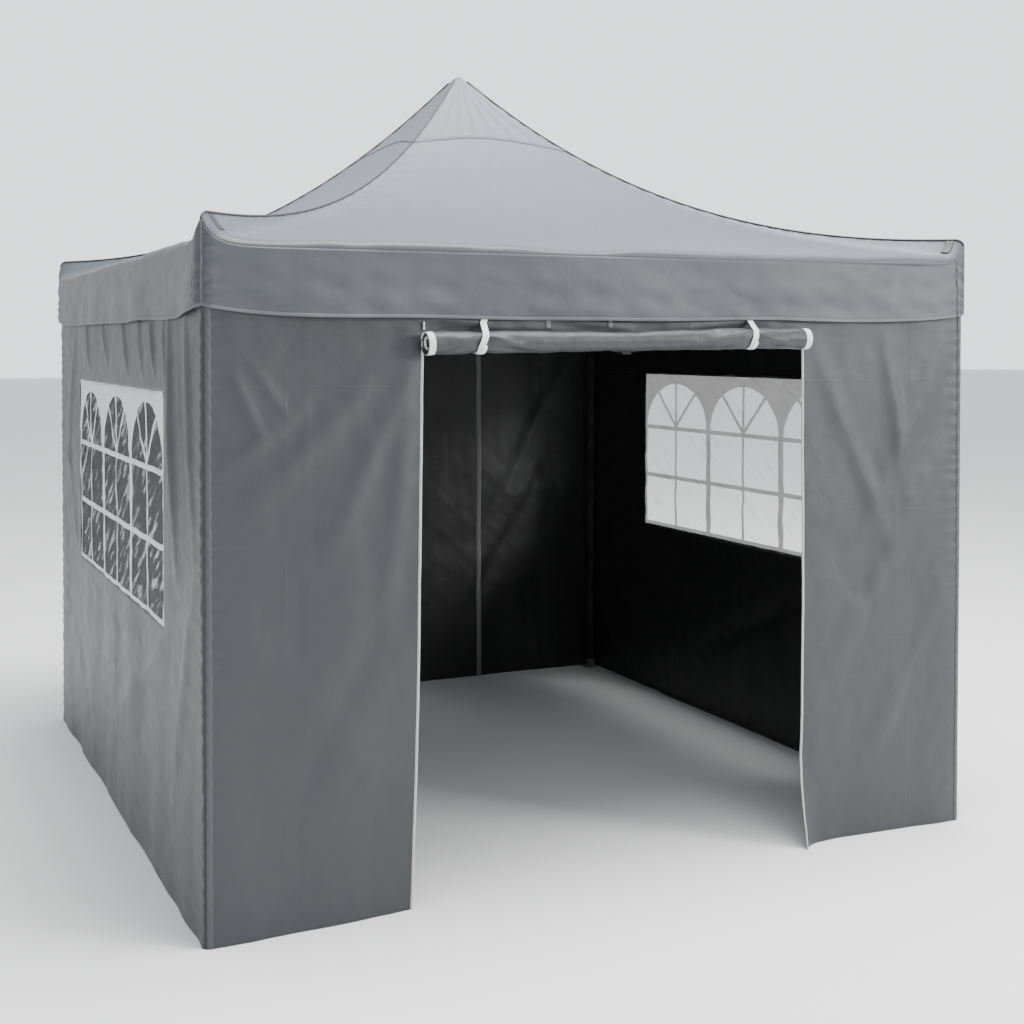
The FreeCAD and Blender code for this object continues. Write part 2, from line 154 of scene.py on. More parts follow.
def spaced(stops, step):
    """Numbers from the first stop to the last, no further apart than step, with every stop among them."""
    out = [stops[0]]
    for low, high in zip(stops, stops[1:]):
        out += list(np.linspace(low, high, max(1, math.ceil((high - low) / step)) + 1)[1:])
    return np.array(out)


# %% [markdown]
# ## From a formula to a mesh
# One helper turns a grid of places into a mesh. It keeps the flat measure of the cloth, in metres, as
# its UV map, so that weave and stitches come out at their real size on every side. The Solidify
# modifier gives the cloth its thickness and puts the black lining on the inside.

# %% Mesh helpers
def make_mesh(name, points, faces, measure, materials):
    """A mesh object from an (n, 3) array, a list of faces and an (n, 2) array of flat measures."""
    mesh = bpy.data.meshes.new(name)
    mesh.from_pydata(points.tolist(), [], faces)
    mesh.update()
    layer = mesh.uv_layers.new(name="measure")
    loops = np.empty(len(mesh.loops), dtype=np.int64)
    mesh.loops.foreach_get("vertex_index", loops)
    layer.data.foreach_set("uv", measure[loops].astype(np.float32).ravel())
    for material in materials:
        mesh.materials.append(material)
    mesh.shade_smooth()
    piece = bpy.data.objects.new(name, mesh)
    bpy.context.collection.objects.link(piece)
    return piece


def thicken(piece, thickness, inside=0):
    """Cloth thickness towards the inside; inside is how many slots on the lining's material is."""
    solid = piece.modifiers.new("thickness", "SOLIDIFY")
    solid.thickness = thickness
    solid.offset = -1
    solid.material_offset = inside
    solid.use_even_offset = False


def grid_piece(name, u, v, place, quarter, materials, thickness=CLOTH, opening=None, paint=None,
               flat=None):
    """A cloth grid: place(U, V) says where it hangs at the front. opening(U, V) is true where it is cut
    away, paint(U, V) gives the material slot of each face, and flat(U, V) its flat measure in metres."""
    across, up = np.meshgrid(u, v, indexing="ij")
    points = np.stack(quarter_turn(place(across, up), quarter), -1).reshape(-1, 3)
    measure = np.stack([across, up] if flat is None else flat(across, up), -1).reshape(-1, 2)
    rows = len(v)
    corner = (np.arange(len(u) - 1)[:, None] * rows + np.arange(rows - 1)[None, :])
    centre_u = (across[:-1, :-1] + across[1:, 1:]) / 2
    centre_v = (up[:-1, :-1] + up[1:, 1:]) / 2
    kept = np.ones(corner.shape, bool) if opening is None else ~opening(centre_u, centre_v)
    first = corner[kept]
    faces = np.stack([first, first + rows, first + rows + 1, first + 1], -1)
    used = np.unique(faces)
    renumber = np.zeros(len(points), dtype=np.int64)
    renumber[used] = np.arange(len(used))
    piece = make_mesh(name, points[used], renumber[faces].tolist(), measure[used], materials)
    if paint is not None:
        index = paint(centre_u, centre_v)[kept].astype(np.int32)
        piece.data.polygons.foreach_set("material_index", index)
    if thickness:
        thicken(piece, thickness, 1 if len(materials) > 1 and paint is None else 0)
    return piece


# %% [markdown]
# ## Node helpers
# A finish is a small tree of shader nodes. These helpers add a node, set its sockets and link them, so
# that the trees below read as short recipes.

# %% Node helpers
def add(tree, kind, settings=None, **sockets):
    """A new node of that kind. settings are its own values; a socket takes a number, colour or output."""
    node = tree.nodes.new(kind)
    for key, value in (settings or {}).items():
        setattr(node, key, value)
    for key, value in sockets.items():
        socket = node.inputs[int(key[1:])] if key[0] == "_" else node.inputs[key.replace("_", " ")]
        if isinstance(value, bpy.types.NodeSocket):
            tree.links.new(value, socket)
        else:
            socket.default_value = value
    return node


def maths(tree, operation, first, second=0.0):
    return add(tree, "ShaderNodeMath", {"operation": operation}, _0=first, _1=second).outputs[0]


def blended(tree, factor, first, second):
    """Two colours mixed by a factor."""
    node = add(tree, "ShaderNodeMix", {"data_type": "RGBA"}, _0=factor, _6=first, _7=second)
    return node.outputs[2]


def new_group(name, inputs, outputs):
    """A shader node group with named sockets: inputs maps a name to its default number or colour."""
    group = bpy.data.node_groups.new(name, "ShaderNodeTree")
    for label, default in inputs.items():
        kind = "NodeSocketColor" if isinstance(default, tuple) else "NodeSocketFloat"
        socket = group.interface.new_socket(label, in_out="INPUT", socket_type=kind)
        socket.default_value = default
    for label, kind in outputs.items():
        group.interface.new_socket(label, in_out="OUTPUT", socket_type=kind)
    return group, group.nodes.new("NodeGroupInput").outputs, group.nodes.new("NodeGroupOutput").inputs


def use_group(tree, group, **sockets):
    node = tree.nodes.new("ShaderNodeGroup")
    node.node_tree = group
    for key, value in sockets.items():
        socket = node.inputs[key.replace("_", " ")]
        if isinstance(value, bpy.types.NodeSocket):
            tree.links.new(value, socket)
        else:
            socket.default_value = value
    return node.outputs


def new_material(name):
    """A material with a Principled shader. Returns the material, its tree and the shader."""
    material = bpy.data.materials.new(name)
    material.use_nodes = True
    return material, material.node_tree, material.node_tree.nodes["Principled BSDF"]


def grey(value, blue=1.0):
    """A colour of that lightness, tinted towards blue."""
    return (value * (2 - blue) ** 0.5, value, value * blue, 1.0)


# %% [markdown]
# ## The coated cloth
# Tent cloth is a fine plain weave under a thin PVC coat. Up close it has a tight grid of threads, and
# from a few steps away only a faint mottling, fine crinkles and the straight ridges of its packing
# folds. One node group makes all of that from the flat measure, and each cloth sets its own strengths.

# %% Group: coated weave
def build_weave():
    group, given, result = new_group(
        "coated weave",
        {"Colour": (0.15, 0.15, 0.17, 1.0), "Thread size": 0.0012, "Mottling": 0.06, "Crinkle": 1.0,
         "Fold spacing": 0.49, "Fold strength": 1.0},
        {"Colour": "NodeSocketColor", "Roughness": "NodeSocketFloat", "Height": "NodeSocketFloat"},
    )
    measure = add(group, "ShaderNodeUVMap").outputs[0]
    split = add(group, "ShaderNodeSeparateXYZ", _0=measure).outputs
    turns = maths(group, "DIVIDE", 2 * math.pi, given["Thread size"])
    warp = maths(group, "SINE", maths(group, "MULTIPLY", split[0], turns))
    weft = maths(group, "SINE", maths(group, "MULTIPLY", split[1], turns))
    thread = maths(group, "MULTIPLY", warp, weft)
    mottle = add(group, "ShaderNodeTexNoise", Vector=measure, Scale=5.0, Detail=4.0,
                 Roughness=0.6).outputs[0]
    crinkle = add(group, "ShaderNodeTexNoise", Vector=measure, Scale=16.0, Detail=5.0, Roughness=0.55,
                  Distortion=0.8).outputs[0]
    ridges = []
    for axis in (0, 1):
        place = maths(group, "DIVIDE", split[axis], given["Fold spacing"])
        off = maths(group, "ABSOLUTE", maths(group, "SUBTRACT", maths(group, "FRACT", place), 0.5))
        metres = maths(group, "MULTIPLY", off, given["Fold spacing"])
        sharp = maths(group, "SUBTRACT", 1.0, maths(group, "DIVIDE", metres, 0.004))
        ridges.append(maths(group, "MAXIMUM", sharp, 0.0))
    patchy = add(group, "ShaderNodeTexNoise", Vector=measure, Scale=3.0, Detail=1.0).outputs[0]
    patchy = maths(group, "MULTIPLY", maths(group, "SUBTRACT", patchy, 0.35), given["Fold strength"])
    ridge = maths(group, "MULTIPLY", maths(group, "MAXIMUM", ridges[0], ridges[1]), patchy)
    height = maths(group, "MULTIPLY", thread, 0.00006)
    height = maths(group, "ADD", height, maths(group, "MULTIPLY", ridge, 0.0012))
    waves = maths(group, "MULTIPLY", maths(group, "MULTIPLY", crinkle, given["Crinkle"]), 0.0016)
    group.links.new(maths(group, "ADD", height, waves), result["Height"])
    shade = maths(group, "MULTIPLY", maths(group, "SUBTRACT", mottle, 0.5), given["Mottling"])
    shade = maths(group, "ADD", shade, maths(group, "MULTIPLY", ridge, 0.05))
    shade = maths(group, "ADD", shade, maths(group, "MULTIPLY", thread, 0.02))
    value = maths(group, "ADD", shade, 1.0)
    colour = add(group, "ShaderNodeHueSaturation", Color=given["Colour"], Value=value)
    group.links.new(colour.outputs[0], result["Colour"])
    uneven = maths(group, "MULTIPLY", maths(group, "SUBTRACT", crinkle, 0.5), 0.25)
    group.links.new(maths(group, "ADD", 0.43, uneven), result["Roughness"])
    return group


WEAVE = build_weave()


def cloth_material(name, colour, crinkle=1.0, mottling=0.06, folds=1.0, thread=0.0012, sheen=0.12,
                   top_lit_colour=None):
    """A coated cloth. Where the flat measure runs up from the edge, it turns to a second, lighter colour
    further up: painted light from above on the roof.
    """
    material, tree, shader = new_material(name)
    if top_lit_colour is not None:
        # Painted light: above the eave the cloth is mixed towards a lighter colour, where the light from
        # above falls on the roof.
        up = add(tree, "ShaderNodeSeparateXYZ", _0=add(tree, "ShaderNodeUVMap").outputs[0]).outputs[1]
        share = add(tree, "ShaderNodeMapRange", {"interpolation_type": "SMOOTHSTEP"}, _0=up, _1=-0.045,
                    _2=0.06).outputs[0]
        colour = blended(tree, share, colour, top_lit_colour)
    weave = use_group(tree, WEAVE, Colour=colour, Thread_size=thread, Mottling=mottling, Crinkle=crinkle,
                      Fold_strength=folds)
    tree.links.new(weave["Colour"], shader.inputs["Base Color"])
    tree.links.new(weave["Roughness"], shader.inputs["Roughness"])
    bump = add(tree, "ShaderNodeBump", Strength=1.0, Distance=1.0, Height=weave["Height"])
    tree.links.new(bump.outputs[0], shader.inputs["Normal"])
    shader.inputs["Sheen Weight"].default_value = sheen
    shader.inputs["Specular IOR Level"].default_value = 0.45
    return material


# The canopy, valance and walls are one grey cloth in lit and shaded copies: the roof is painted lighter by
# the light from above, and the walls are painted darker than the valance, as painted shade.
VALANCE_COLOUR = grey(0.054, 1.16)
CANOPY_CLOTH = cloth_material("canopy cloth", VALANCE_COLOUR, crinkle=0.5, folds=0.8, sheen=0.06,
                              top_lit_colour=grey(0.112, 1.22))
VALANCE_CLOTH = cloth_material("valance cloth", VALANCE_COLOUR, crinkle=0.7, folds=0.5, sheen=0.05)
WALL_CLOTH = cloth_material("wall cloth", grey(0.030, 1.14), crinkle=1.0, folds=1.6, sheen=0.04)
LINING = cloth_material("black lining", grey(0.009, 1.02), crinkle=0.6, mottling=0.1, sheen=0.02)
PIPING = cloth_material("hip piping", grey(0.025, 1.05), crinkle=0.1, folds=0.0, thread=0.002)
HOOKS = cloth_material("hook patch", grey(0.02, 1.0), crinkle=0.2, folds=0.0, thread=0.0016)
CLOTHS = (CANOPY_CLOTH, VALANCE_CLOTH, WALL_CLOTH, LINING, PIPING, HOOKS)
print("cloth finishes:", [cloth.name for cloth in CLOTHS])

# %% [markdown]
# ## Stitched seams
# Every seam is held by one or two rows of lock stitch. A stitch is a short raised dash with a hole at
# each end. The group draws two rows of dashes along a tape, from the place along it and across it.

# %% Group: stitch rows
def build_stitches():
    group, given, result = new_group(
        "stitch rows",
        {"Along": 0.0, "Across": 0.0, "Row distance": 0.005, "Stitch length": 0.005, "Thread": 0.0005,
         "Cloth": (0.06, 0.06, 0.07, 1.0), "Thread colour": (0.10, 0.10, 0.11, 1.0)},
        {"Colour": "NodeSocketColor", "Height": "NodeSocketFloat"})
    off = maths(group, "SUBTRACT", maths(group, "ABSOLUTE", given["Across"]), given["Row distance"])
    off = maths(group, "DIVIDE", maths(group, "ABSOLUTE", off), given["Thread"])
    ridge = maths(group, "MAXIMUM", maths(group, "SUBTRACT", 1.0, off), 0.0)
    dash = maths(group, "FRACT", maths(group, "DIVIDE", given["Along"], given["Stitch length"]))
    on = maths(group, "LESS_THAN", dash, 0.75)
    mask = maths(group, "MULTIPLY", ridge, on)
    group.links.new(blended(group, mask, given["Cloth"], given["Thread colour"]), result["Colour"])
    dent = maths(group, "MULTIPLY", maths(group, "SUBTRACT", ridge, mask), -0.0008)
    group.links.new(maths(group, "ADD", dent, maths(group, "MULTIPLY", mask, 0.0005)), result["Height"])
    return group


STITCHES = build_stitches()


def seam_material(name, colour, thread, row):
    """Cloth with two rows of stitches, row metres either side of the tape's middle."""
    material, tree, shader = new_material(name)
    weave = use_group(tree, WEAVE, Colour=colour, Mottling=0.08, Crinkle=0.4, Fold_strength=0.0)
    measure = add(tree, "ShaderNodeUVMap").outputs[0]
    split = add(tree, "ShaderNodeSeparateXYZ", _0=measure).outputs
    sewn = use_group(tree, STITCHES, Along=split[0], Across=split[1], Row_distance=row,
                     Cloth=weave["Colour"], Thread_colour=thread)
    tree.links.new(sewn["Colour"], shader.inputs["Base Color"])
    tree.links.new(weave["Roughness"], shader.inputs["Roughness"])
    both = maths(tree, "ADD", weave["Height"], sewn["Height"])
    bump = add(tree, "ShaderNodeBump", Strength=1.0, Distance=1.0, Height=both)
    tree.links.new(bump.outputs[0], shader.inputs["Normal"])
    return material


# The canopy seam lies on the roof and is painted about as light as the roof around it, the same painted light
# from above.
CANOPY_SEAM = seam_material("canopy seam", grey(0.10, 1.16), grey(0.16, 1.05), 0.005)
BINDING = seam_material("hem binding", grey(0.085, 1.10), grey(0.16, 1.05), 0.0035)
WALL_SEAM = seam_material("wall seam", grey(0.046, 1.12), grey(0.11, 1.05), 0.008)
INSIDE_SEAM = seam_material("inside seam", grey(0.008, 1.0), grey(0.03, 1.0), 0.003)

# %% [markdown]
# ## Webbing, zips and film
# White webbing ties up the door and white zips edge the doorway. Their rib is coarse enough to see, so
# a second group draws ribs across a tape. The window is a clear PVC film with white print on it. The
# film is almost wholly transparent to the shader, except along its rub marks, where glints of light are
# painted in as grey, more opaque streaks, and the print seen from inside glows a little, as daylight
# shines through the ink.

# %% Group: ribbed tape
def build_ribs():
    group, given, result = new_group(
        "ribbed tape", {"Colour": (0.8, 0.8, 0.8, 1.0), "Rib": 0.0016, "Grime": 0.1},
        {"Colour": "NodeSocketColor", "Height": "NodeSocketFloat"})
    measure = add(group, "ShaderNodeUVMap").outputs[0]
    split = add(group, "ShaderNodeSeparateXYZ", _0=measure).outputs
    turns = maths(group, "DIVIDE", 2 * math.pi, given["Rib"])
    rib = maths(group, "ADD", maths(group, "MULTIPLY", split[0], turns),
                maths(group, "MULTIPLY", split[1], maths(group, "MULTIPLY", turns, 0.5)))
    wave = maths(group, "SINE", rib)
    dirt = add(group, "ShaderNodeTexNoise", Vector=measure, Scale=40.0, Detail=4.0).outputs[0]
    dark = maths(group, "MULTIPLY", maths(group, "SUBTRACT", dirt, 0.5), given["Grime"])
    value = maths(group, "ADD", maths(group, "ADD", dark, 1.0), maths(group, "MULTIPLY", wave, 0.04))
    colour = add(group, "ShaderNodeHueSaturation", Color=given["Colour"], Value=value)
    group.links.new(colour.outputs[0], result["Colour"])
    group.links.new(maths(group, "MULTIPLY", wave, 0.0002), result["Height"])
    return group


RIBS = build_ribs()


def tape_material(name, colour, rib=0.0016, roughness=0.6):
    material, tree, shader = new_material(name)
    ribs = use_group(tree, RIBS, Colour=colour, Rib=rib)
    tree.links.new(ribs["Colour"], shader.inputs["Base Color"])
    bump = add(tree, "ShaderNodeBump", Strength=1.0, Distance=1.0, Height=ribs["Height"])
    tree.links.new(bump.outputs[0], shader.inputs["Normal"])
    shader.inputs["Roughness"].default_value = roughness
    shader.inputs["Sheen Weight"].default_value = 0.1
    return material


def build_scuff_glints():
    """Slanting rub marks on clear film: long thin streaks, in patches, that also carry painted glints of
    light.
    """
    group, given, result = new_group("film scuffs and glints", {"Lean": -0.52, "Streak width": 0.020, "Amount": 1.0},
                                     {"Mask": "NodeSocketFloat", "Height": "NodeSocketFloat"})
    measure = add(group, "ShaderNodeUVMap").outputs[0]
    turned = add(group, "ShaderNodeVectorRotate", {"rotation_type": "Z_AXIS"}, Vector=measure,
                 Angle=given["Lean"]).outputs[0]
    split = add(group, "ShaderNodeSeparateXYZ", _0=turned).outputs
    across = maths(group, "DIVIDE", split[1], given["Streak width"])
    along = maths(group, "MULTIPLY", split[0], 9.0)
    place = add(group, "ShaderNodeCombineXYZ", _0=along, _1=across).outputs[0]
    streak = add(group, "ShaderNodeTexNoise", Vector=place, Scale=0.55, Detail=3.0, Roughness=0.6).outputs[0]
    patch = add(group, "ShaderNodeTexNoise", Vector=measure, Scale=4.0, Detail=2.0).outputs[0]
    lines = add(group, "ShaderNodeMapRange", _0=streak, _1=0.54, _2=0.66, _3=0.0, _4=1.0).outputs[0]
    where = add(group, "ShaderNodeMapRange", _0=patch, _1=0.35, _2=0.6, _3=0.1, _4=1.0).outputs[0]
    mask = maths(group, "MULTIPLY", maths(group, "MULTIPLY", lines, where), given["Amount"])
    group.links.new(mask, result["Mask"])
    group.links.new(maths(group, "MULTIPLY", streak, 0.003), result["Height"])
    return group


SCUFF_GLINTS = build_scuff_glints()


def film_material(name, amount):
    """Clear PVC: see-through, faintly smoky, with rub marks whose glints are painted in as grey, more opaque
    streaks.
    """
    material, tree, shader = new_material(name)
    scuff_glints = use_group(tree, SCUFF_GLINTS, Amount=amount)
    bump = add(tree, "ShaderNodeBump", Strength=0.7, Distance=1.0, Height=scuff_glints["Height"])
    tree.links.new(bump.outputs[0], shader.inputs["Normal"])
    # Painted glints: along the streaks the film turns grey and nearly opaque.
    opacity = add(tree, "ShaderNodeMapRange", _0=scuff_glints["Mask"], _3=0.07, _4=0.85).outputs[0]
    tree.links.new(opacity, shader.inputs["Alpha"])
    shader.inputs["Base Color"].default_value = (0.42, 0.44, 0.45, 1.0)
    shader.inputs["Roughness"].default_value = 0.18
    return material


def lit_print_material():
    """The print seen from inside: daylight comes through the ink, so it glows a little."""
    material, tree, shader = new_material("window print inside")
    measure = add(tree, "ShaderNodeUVMap").outputs[0]
    cloud = add(tree, "ShaderNodeTexNoise", Vector=measure, Scale=6.0, Detail=2.0).outputs[0]
    glow = add(tree, "ShaderNodeMapRange", _0=cloud, _1=0.3, _2=0.7, _3=0.30, _4=0.36).outputs[0]
    tree.links.new(glow, shader.inputs["Emission Color"])
    shader.inputs["Emission Strength"].default_value = 1.0
    shader.inputs["Base Color"].default_value = (0.3, 0.3, 0.3, 1.0)
    shader.inputs["Roughness"].default_value = 0.5
    return material


WEBBING = tape_material("white webbing", (0.78, 0.78, 0.78, 1.0))
ZIP_TAPE = tape_material("zip tape", (0.50, 0.50, 0.50, 1.0), rib=0.003)
GREY_TAPE = tape_material("grey zip tape", (0.16, 0.16, 0.16, 1.0), rib=0.003)
PRINT_OUT = tape_material("window print outside", (0.62, 0.62, 0.63, 1.0), rib=0.004, roughness=0.4)
PRINT_IN = lit_print_material()
# The left film gets the full painted glints on its rub marks, the right one only a trace.
FILM = {"left": film_material("scuffed window film with painted glints", 1.0), "right": film_material("window film", 0.12)}

# %% [markdown]
# ## The canopy
# The canopy is four gores sewn together on the hips and pulled over the mast and the leg tops. Between
# the hips each gore is hollow, steep at the peak and nearly level at the edge, and between the legs its
# edge hangs a little lower than the corners. The gores share their hip points, so they read as one
# cloth, and each rides on its own quarter of the folding frame.

# %% The canopy's surface
RISE = PEAK - EAVE
HOLLOW = 2.35
EDGE_SAG = 0.078
EAVE_BEND = 0.026
SLOPE = HALF - EAVE_BEND


def canopy_height(reach):
    """Height of the hips above the ground at a distance from the peak, with a rounded tip."""
    soft = np.sqrt(reach ** 2 + 0.012 ** 2) - 0.004
    return EAVE + RISE * (1 - np.clip(soft, 0, HALF) / HALF) ** HOLLOW


def edge_drop(share, reach):
    """How far the gore hangs below its hips: nothing at a hip (share 1) or near the peak."""
    hang = EDGE_SAG * np.clip(reach / SLOPE, 0, 1) ** 3.2
    return hang * (1 - np.abs(share) ** 36)


def gore_relief(along, reach, share, seed):
    """Small folds square to the cloth: slack by the edge, tight near the peak, none on the hips."""
    slack = (reach / HALF) ** 1.5
    wave = 0.005 * ripples(along, reach, 0.6, seed) + 0.0016 * ripples(along, reach, 0.2, seed + 1)
    pull = 0.0009 * np.sin(math.pi * 7 * share + ripples(reach, along, 0.5, seed + 2))
    pull = pull * np.exp(-((reach - 0.2) / 0.15) ** 2)
    hip = (1 - np.abs(share)) * reach
    ruck = 0.0020 * pucker(hip, reach, 0.03, 0.055, seed + 3)
    free = 1 - np.exp(-hip / 0.03)
    pinch = 0.006 * np.exp(-((hip - 0.05) / 0.03) ** 2) * np.exp(-((reach - 1.43) / 0.05) ** 2)
    return (wave * slack + pull - pinch) * free + ruck * np.minimum(1, hip / 0.008)


def gore_place(seed, lift=0.0):
    """Places a gore: share runs from hip to hip, and climb in metres from the start of its slope at the
    edge, with the bend over the edge below 0."""
    def place(share, climb):
        reach = SLOPE - np.maximum(climb, 0)
        bend = np.clip(-climb / EAVE_BEND, 0, math.pi / 2)
        ring = reach + EAVE_BEND * np.sin(bend)
        corner = np.maximum(CANOPY_CORNER * (ring / HALF) ** 8, 1e-5)
        x, inset = corner_bend(share * flat_half(ring, corner), ring, corner)
        z = canopy_height(reach) - edge_drop(share, reach) - EAVE_BEND * (1 - np.cos(bend))
        out = gore_relief(x, reach, share, seed) * np.cos(bend) + lift
        slope = -RISE * HOLLOW / HALF * (1 - reach / HALF) ** (HOLLOW - 1)
        size = np.sqrt(1 + slope ** 2)
        away = np.where(bend > 0, np.sin(bend), -slope / size)
        return x, -(ring - inset) - out * away, z + out * np.where(bend > 0, np.cos(bend), 1 / size)
    return place


STATIONS = np.linspace(0, SLOPE, 400)
PROFILE = np.concatenate([[0], np.cumsum(np.hypot(np.diff(STATIONS), np.diff(canopy_height(STATIONS))))])


def gore_flat(share, climb):
    """The flat measure of a gore: along its edge, and up its slope."""
    reach = SLOPE - np.maximum(climb, 0)
    return share * reach, PROFILE[-1] - np.interp(reach, STATIONS, PROFILE) + np.minimum(climb, 0)


SHARES = np.sin(np.linspace(-math.pi / 2, math.pi / 2, 145))
BEND_ROWS = np.linspace(-EAVE_BEND * math.pi / 2, 0, 9)[:-1]
CLIMBS = np.concatenate([BEND_ROWS, np.linspace(0, SLOPE - 0.002, 128)])


def ride_with_gore(piece, side):
    """The piece goes with the canopy panel of its side."""
    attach(piece, "canopy_" + side)
    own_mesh(piece)


def make_gore(side, quarter):
    gore = grid_piece("canopy_gore_" + side, SHARES, CLIMBS, gore_place(10 * quarter), quarter,
                      [CANOPY_CLOTH, LINING], flat=gore_flat)
    ride_with_gore(gore, side)
    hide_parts("canopy_panel_" + side)
    return gore


gores = {side: make_gore(side, quarter) for side, quarter in SIDES.items()}
points_each = len(gores["front"].data.vertices)
print("gores:", len(gores), "of", points_each, "points, slope", round(PROFILE[-1], 3))

# %% [markdown]
# ## Piping and seams on the canopy
# The hips are closed with a dark piping, and a curved seam crosses each gore about a fifth of the way
# down, where the stronger peak cloth begins. Both are narrow tapes laid on the same surface, a hair
# above it, so they follow every fold.

# %% Canopy seams
def round_tube(name, path, radius, materials, turns=8):
    """A thin round piece along an (n, 3) path, with flat ends."""
    path = np.array(path)
    ahead = np.gradient(path, axis=0)
    ahead /= np.linalg.norm(ahead, axis=1)[:, None]
    side = np.cross(ahead, [0.0, 0.0, 1.0])
    side[np.linalg.norm(side, axis=1) < 1e-4] = [1.0, 0.0, 0.0]
    side /= np.linalg.norm(side, axis=1)[:, None]
    up = np.cross(side, ahead)
    angles = np.linspace(0, 2 * math.pi, turns, endpoint=False)
    ring = np.cos(angles)[None, :, None] * side[:, None, :] + np.sin(angles)[None, :, None] * up[:, None, :]
    radius = np.broadcast_to(radius, len(path))
    points = (path[:, None, :] + radius[:, None, None] * ring).reshape(-1, 3)
    steps = np.concatenate([[0], np.cumsum(np.linalg.norm(np.diff(path, axis=0), axis=1))])
    measure = np.stack([np.repeat(steps, turns), np.tile(angles * 0.003, len(path))], -1)
    faces = []
    for i in range(len(path) - 1):
        for j in range(turns):
            k = (j + 1) % turns
            faces.append((i * turns + j, i * turns + k, (i + 1) * turns + k, (i + 1) * turns + j))
    faces.append(tuple(range(turns))[::-1])
    faces.append(tuple((len(path) - 1) * turns + j for j in range(turns)))
    return make_mesh(name, points, faces, measure, materials)


def make_hip_piping(side, quarter, hand):
    climb = np.concatenate([BEND_ROWS, np.linspace(0, SLOPE - 0.03, 150)])
    x, y, z = quarter_turn(gore_place(0)(np.full_like(climb, hand), climb), quarter)
    piping = round_tube(f"hip_piping_{side}_{hand_name(hand)}",
                        np.stack([x, y, z + 0.001], -1), 0.004, [PIPING])
    ride_with_gore(piping, side)


def make_cross_seam(side, quarter):
    """The seam at the lower edge of the peak cloth: a flat felled seam, 14 mm wide."""
    place = gore_place(10 * quarter, lift=0.0016)

    def sew(share, across):
        return place(share, SLOPE - (0.30 + 0.05 * share ** 2) + across)

    seam = grid_piece("peak_seam_" + side, np.linspace(-0.985, 0.985, 120), np.array([-0.007, 0.0, 0.007]),
                      sew, quarter, [CANOPY_SEAM], 0.001, flat=lambda s, v: (s * 0.33, v))
    ride_with_gore(seam, side)


def make_corner_patch(side, quarter, hand):
    """The hook-and-loop patch under which the canopy is fastened to the leg's head."""
    place = gore_place(10 * quarter, lift=0.0022)

    def sew(share, up):
        return place(hand * (0.9985 - 0.026 * share), 0.002 + 0.022 * up)

    patch = grid_piece(f"corner_patch_{side}_{hand_name(hand)}", np.linspace(0, 1, 9), np.linspace(0, 1, 9),
                       sew, quarter, [HOOKS], 0.0018, flat=lambda s, v: (0.035 * s, 0.022 * v))
    ride_with_gore(patch, side)


for side, quarter in SIDES.items():
    make_cross_seam(side, quarter)
    if side in ("front", "back"):
        for hand in (-1, 1):
            make_hip_piping(side, quarter, hand)
            make_corner_patch(side, quarter, hand)

# %% [markdown]
# ## The valance
# The valance is the flap that hangs from the canopy's edge all round. Its lower edge has a lighter
# binding and is drawn up a little at the corners, where the flaps are sewn together. It hangs loose, so
# it bows out in long shallow waves. Each flap is cut from a strip, and its top edge is hollowed to the
# sag of the canopy's edge.

# %% The valance
VALANCE_END = flat_half(HALF, CANOPY_CORNER)
HEM_HEIGHT = 1.934


def crease_height(u):
    """Where the bend over the canopy's edge ends and the valance begins."""
    share = u / VALANCE_END
    edge = np.full_like(u, SLOPE)
    return canopy_height(edge) - edge_drop(share, edge) - EAVE_BEND


def hem_height(u, seed):
    free = 1 - np.exp(-(VALANCE_END - np.abs(u)) / 0.1)
    corner = np.exp(-(VALANCE_END - np.abs(u)) / 0.16)
    return HEM_HEIGHT + 0.034 * corner + 0.003 * free * ripples(u, 0 * u, 0.7, seed)


def valance_place(seed, lift=0.0):
    """Places a flap: u along the side, rise from 0 at the hem to 1 at the canopy."""
    def place(u, rise):
        x, inset = corner_bend(u, HALF, CANOPY_CORNER)
        z = crease_height(u) * rise + hem_height(u, seed) * (1 - rise)
        end = VALANCE_END - np.abs(u)
        free = (1 - np.exp(-end / 0.05)) * (1 - rise ** 6)
        wave = 0.007 * ripples(u, rise * 0.12, 0.55, seed + 1)
        wave = wave + 0.0022 * ripples(u, rise * 0.3, 0.17, seed + 2)
        seam = np.minimum(1, end / 0.012) * (1 - rise ** 8)
        ruck = 0.0075 * pucker(end, z, 0.030, 0.042, seed + 3) * seam
        out = (wave * (1.0 - 0.7 * rise) + 0.004 * (1 - rise)) * free + ruck
        return x, -(HALF - inset + np.maximum(out, -0.004) + lift), z
    return place


def valance_flat(u, rise):
    return u, (crease_height(u) - hem_height(u, 0)) * rise


def ride_with_wall(piece, side):
    """The piece goes with the upper middle joint of its side."""
    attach(piece, "mid_upper_" + side)
    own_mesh(piece)


VALANCE_RISES = np.linspace(0, 1, 28)
HEM_ROWS = np.array([-0.005, 0.0, 0.024, 0.044])


def make_valance(side, quarter):
    seed = 100 + 10 * quarter
    u = spaced([-VALANCE_END, 0.12 - VALANCE_END, VALANCE_END - 0.12, VALANCE_END], 0.013)
    u = np.concatenate([np.linspace(u[0], u[0] + 0.05, 12)[:-1], u[u > u[0] + 0.05][:-4],
                        np.linspace(u[-1] - 0.05, u[-1], 12)])
    flap = grid_piece("valance_" + side, u, VALANCE_RISES, valance_place(seed), quarter,
                      [VALANCE_CLOTH, LINING], flat=valance_flat)
    ride_with_wall(flap, side)
    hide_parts("valance")
    binding = grid_piece("valance_binding_" + side, u, HEM_ROWS, valance_place(seed, lift=0.0008), quarter,
                         [BINDING], 0.0028, flat=lambda a, b: (a, (b - 0.022) * 0.25))
    ride_with_wall(binding, side)


for side, quarter in SIDES.items():
    make_valance(side, quarter)
print("valance flaps: 4, hem at", round(float(hem_height(np.array([0.0]), 0)[0]), 3), "m")

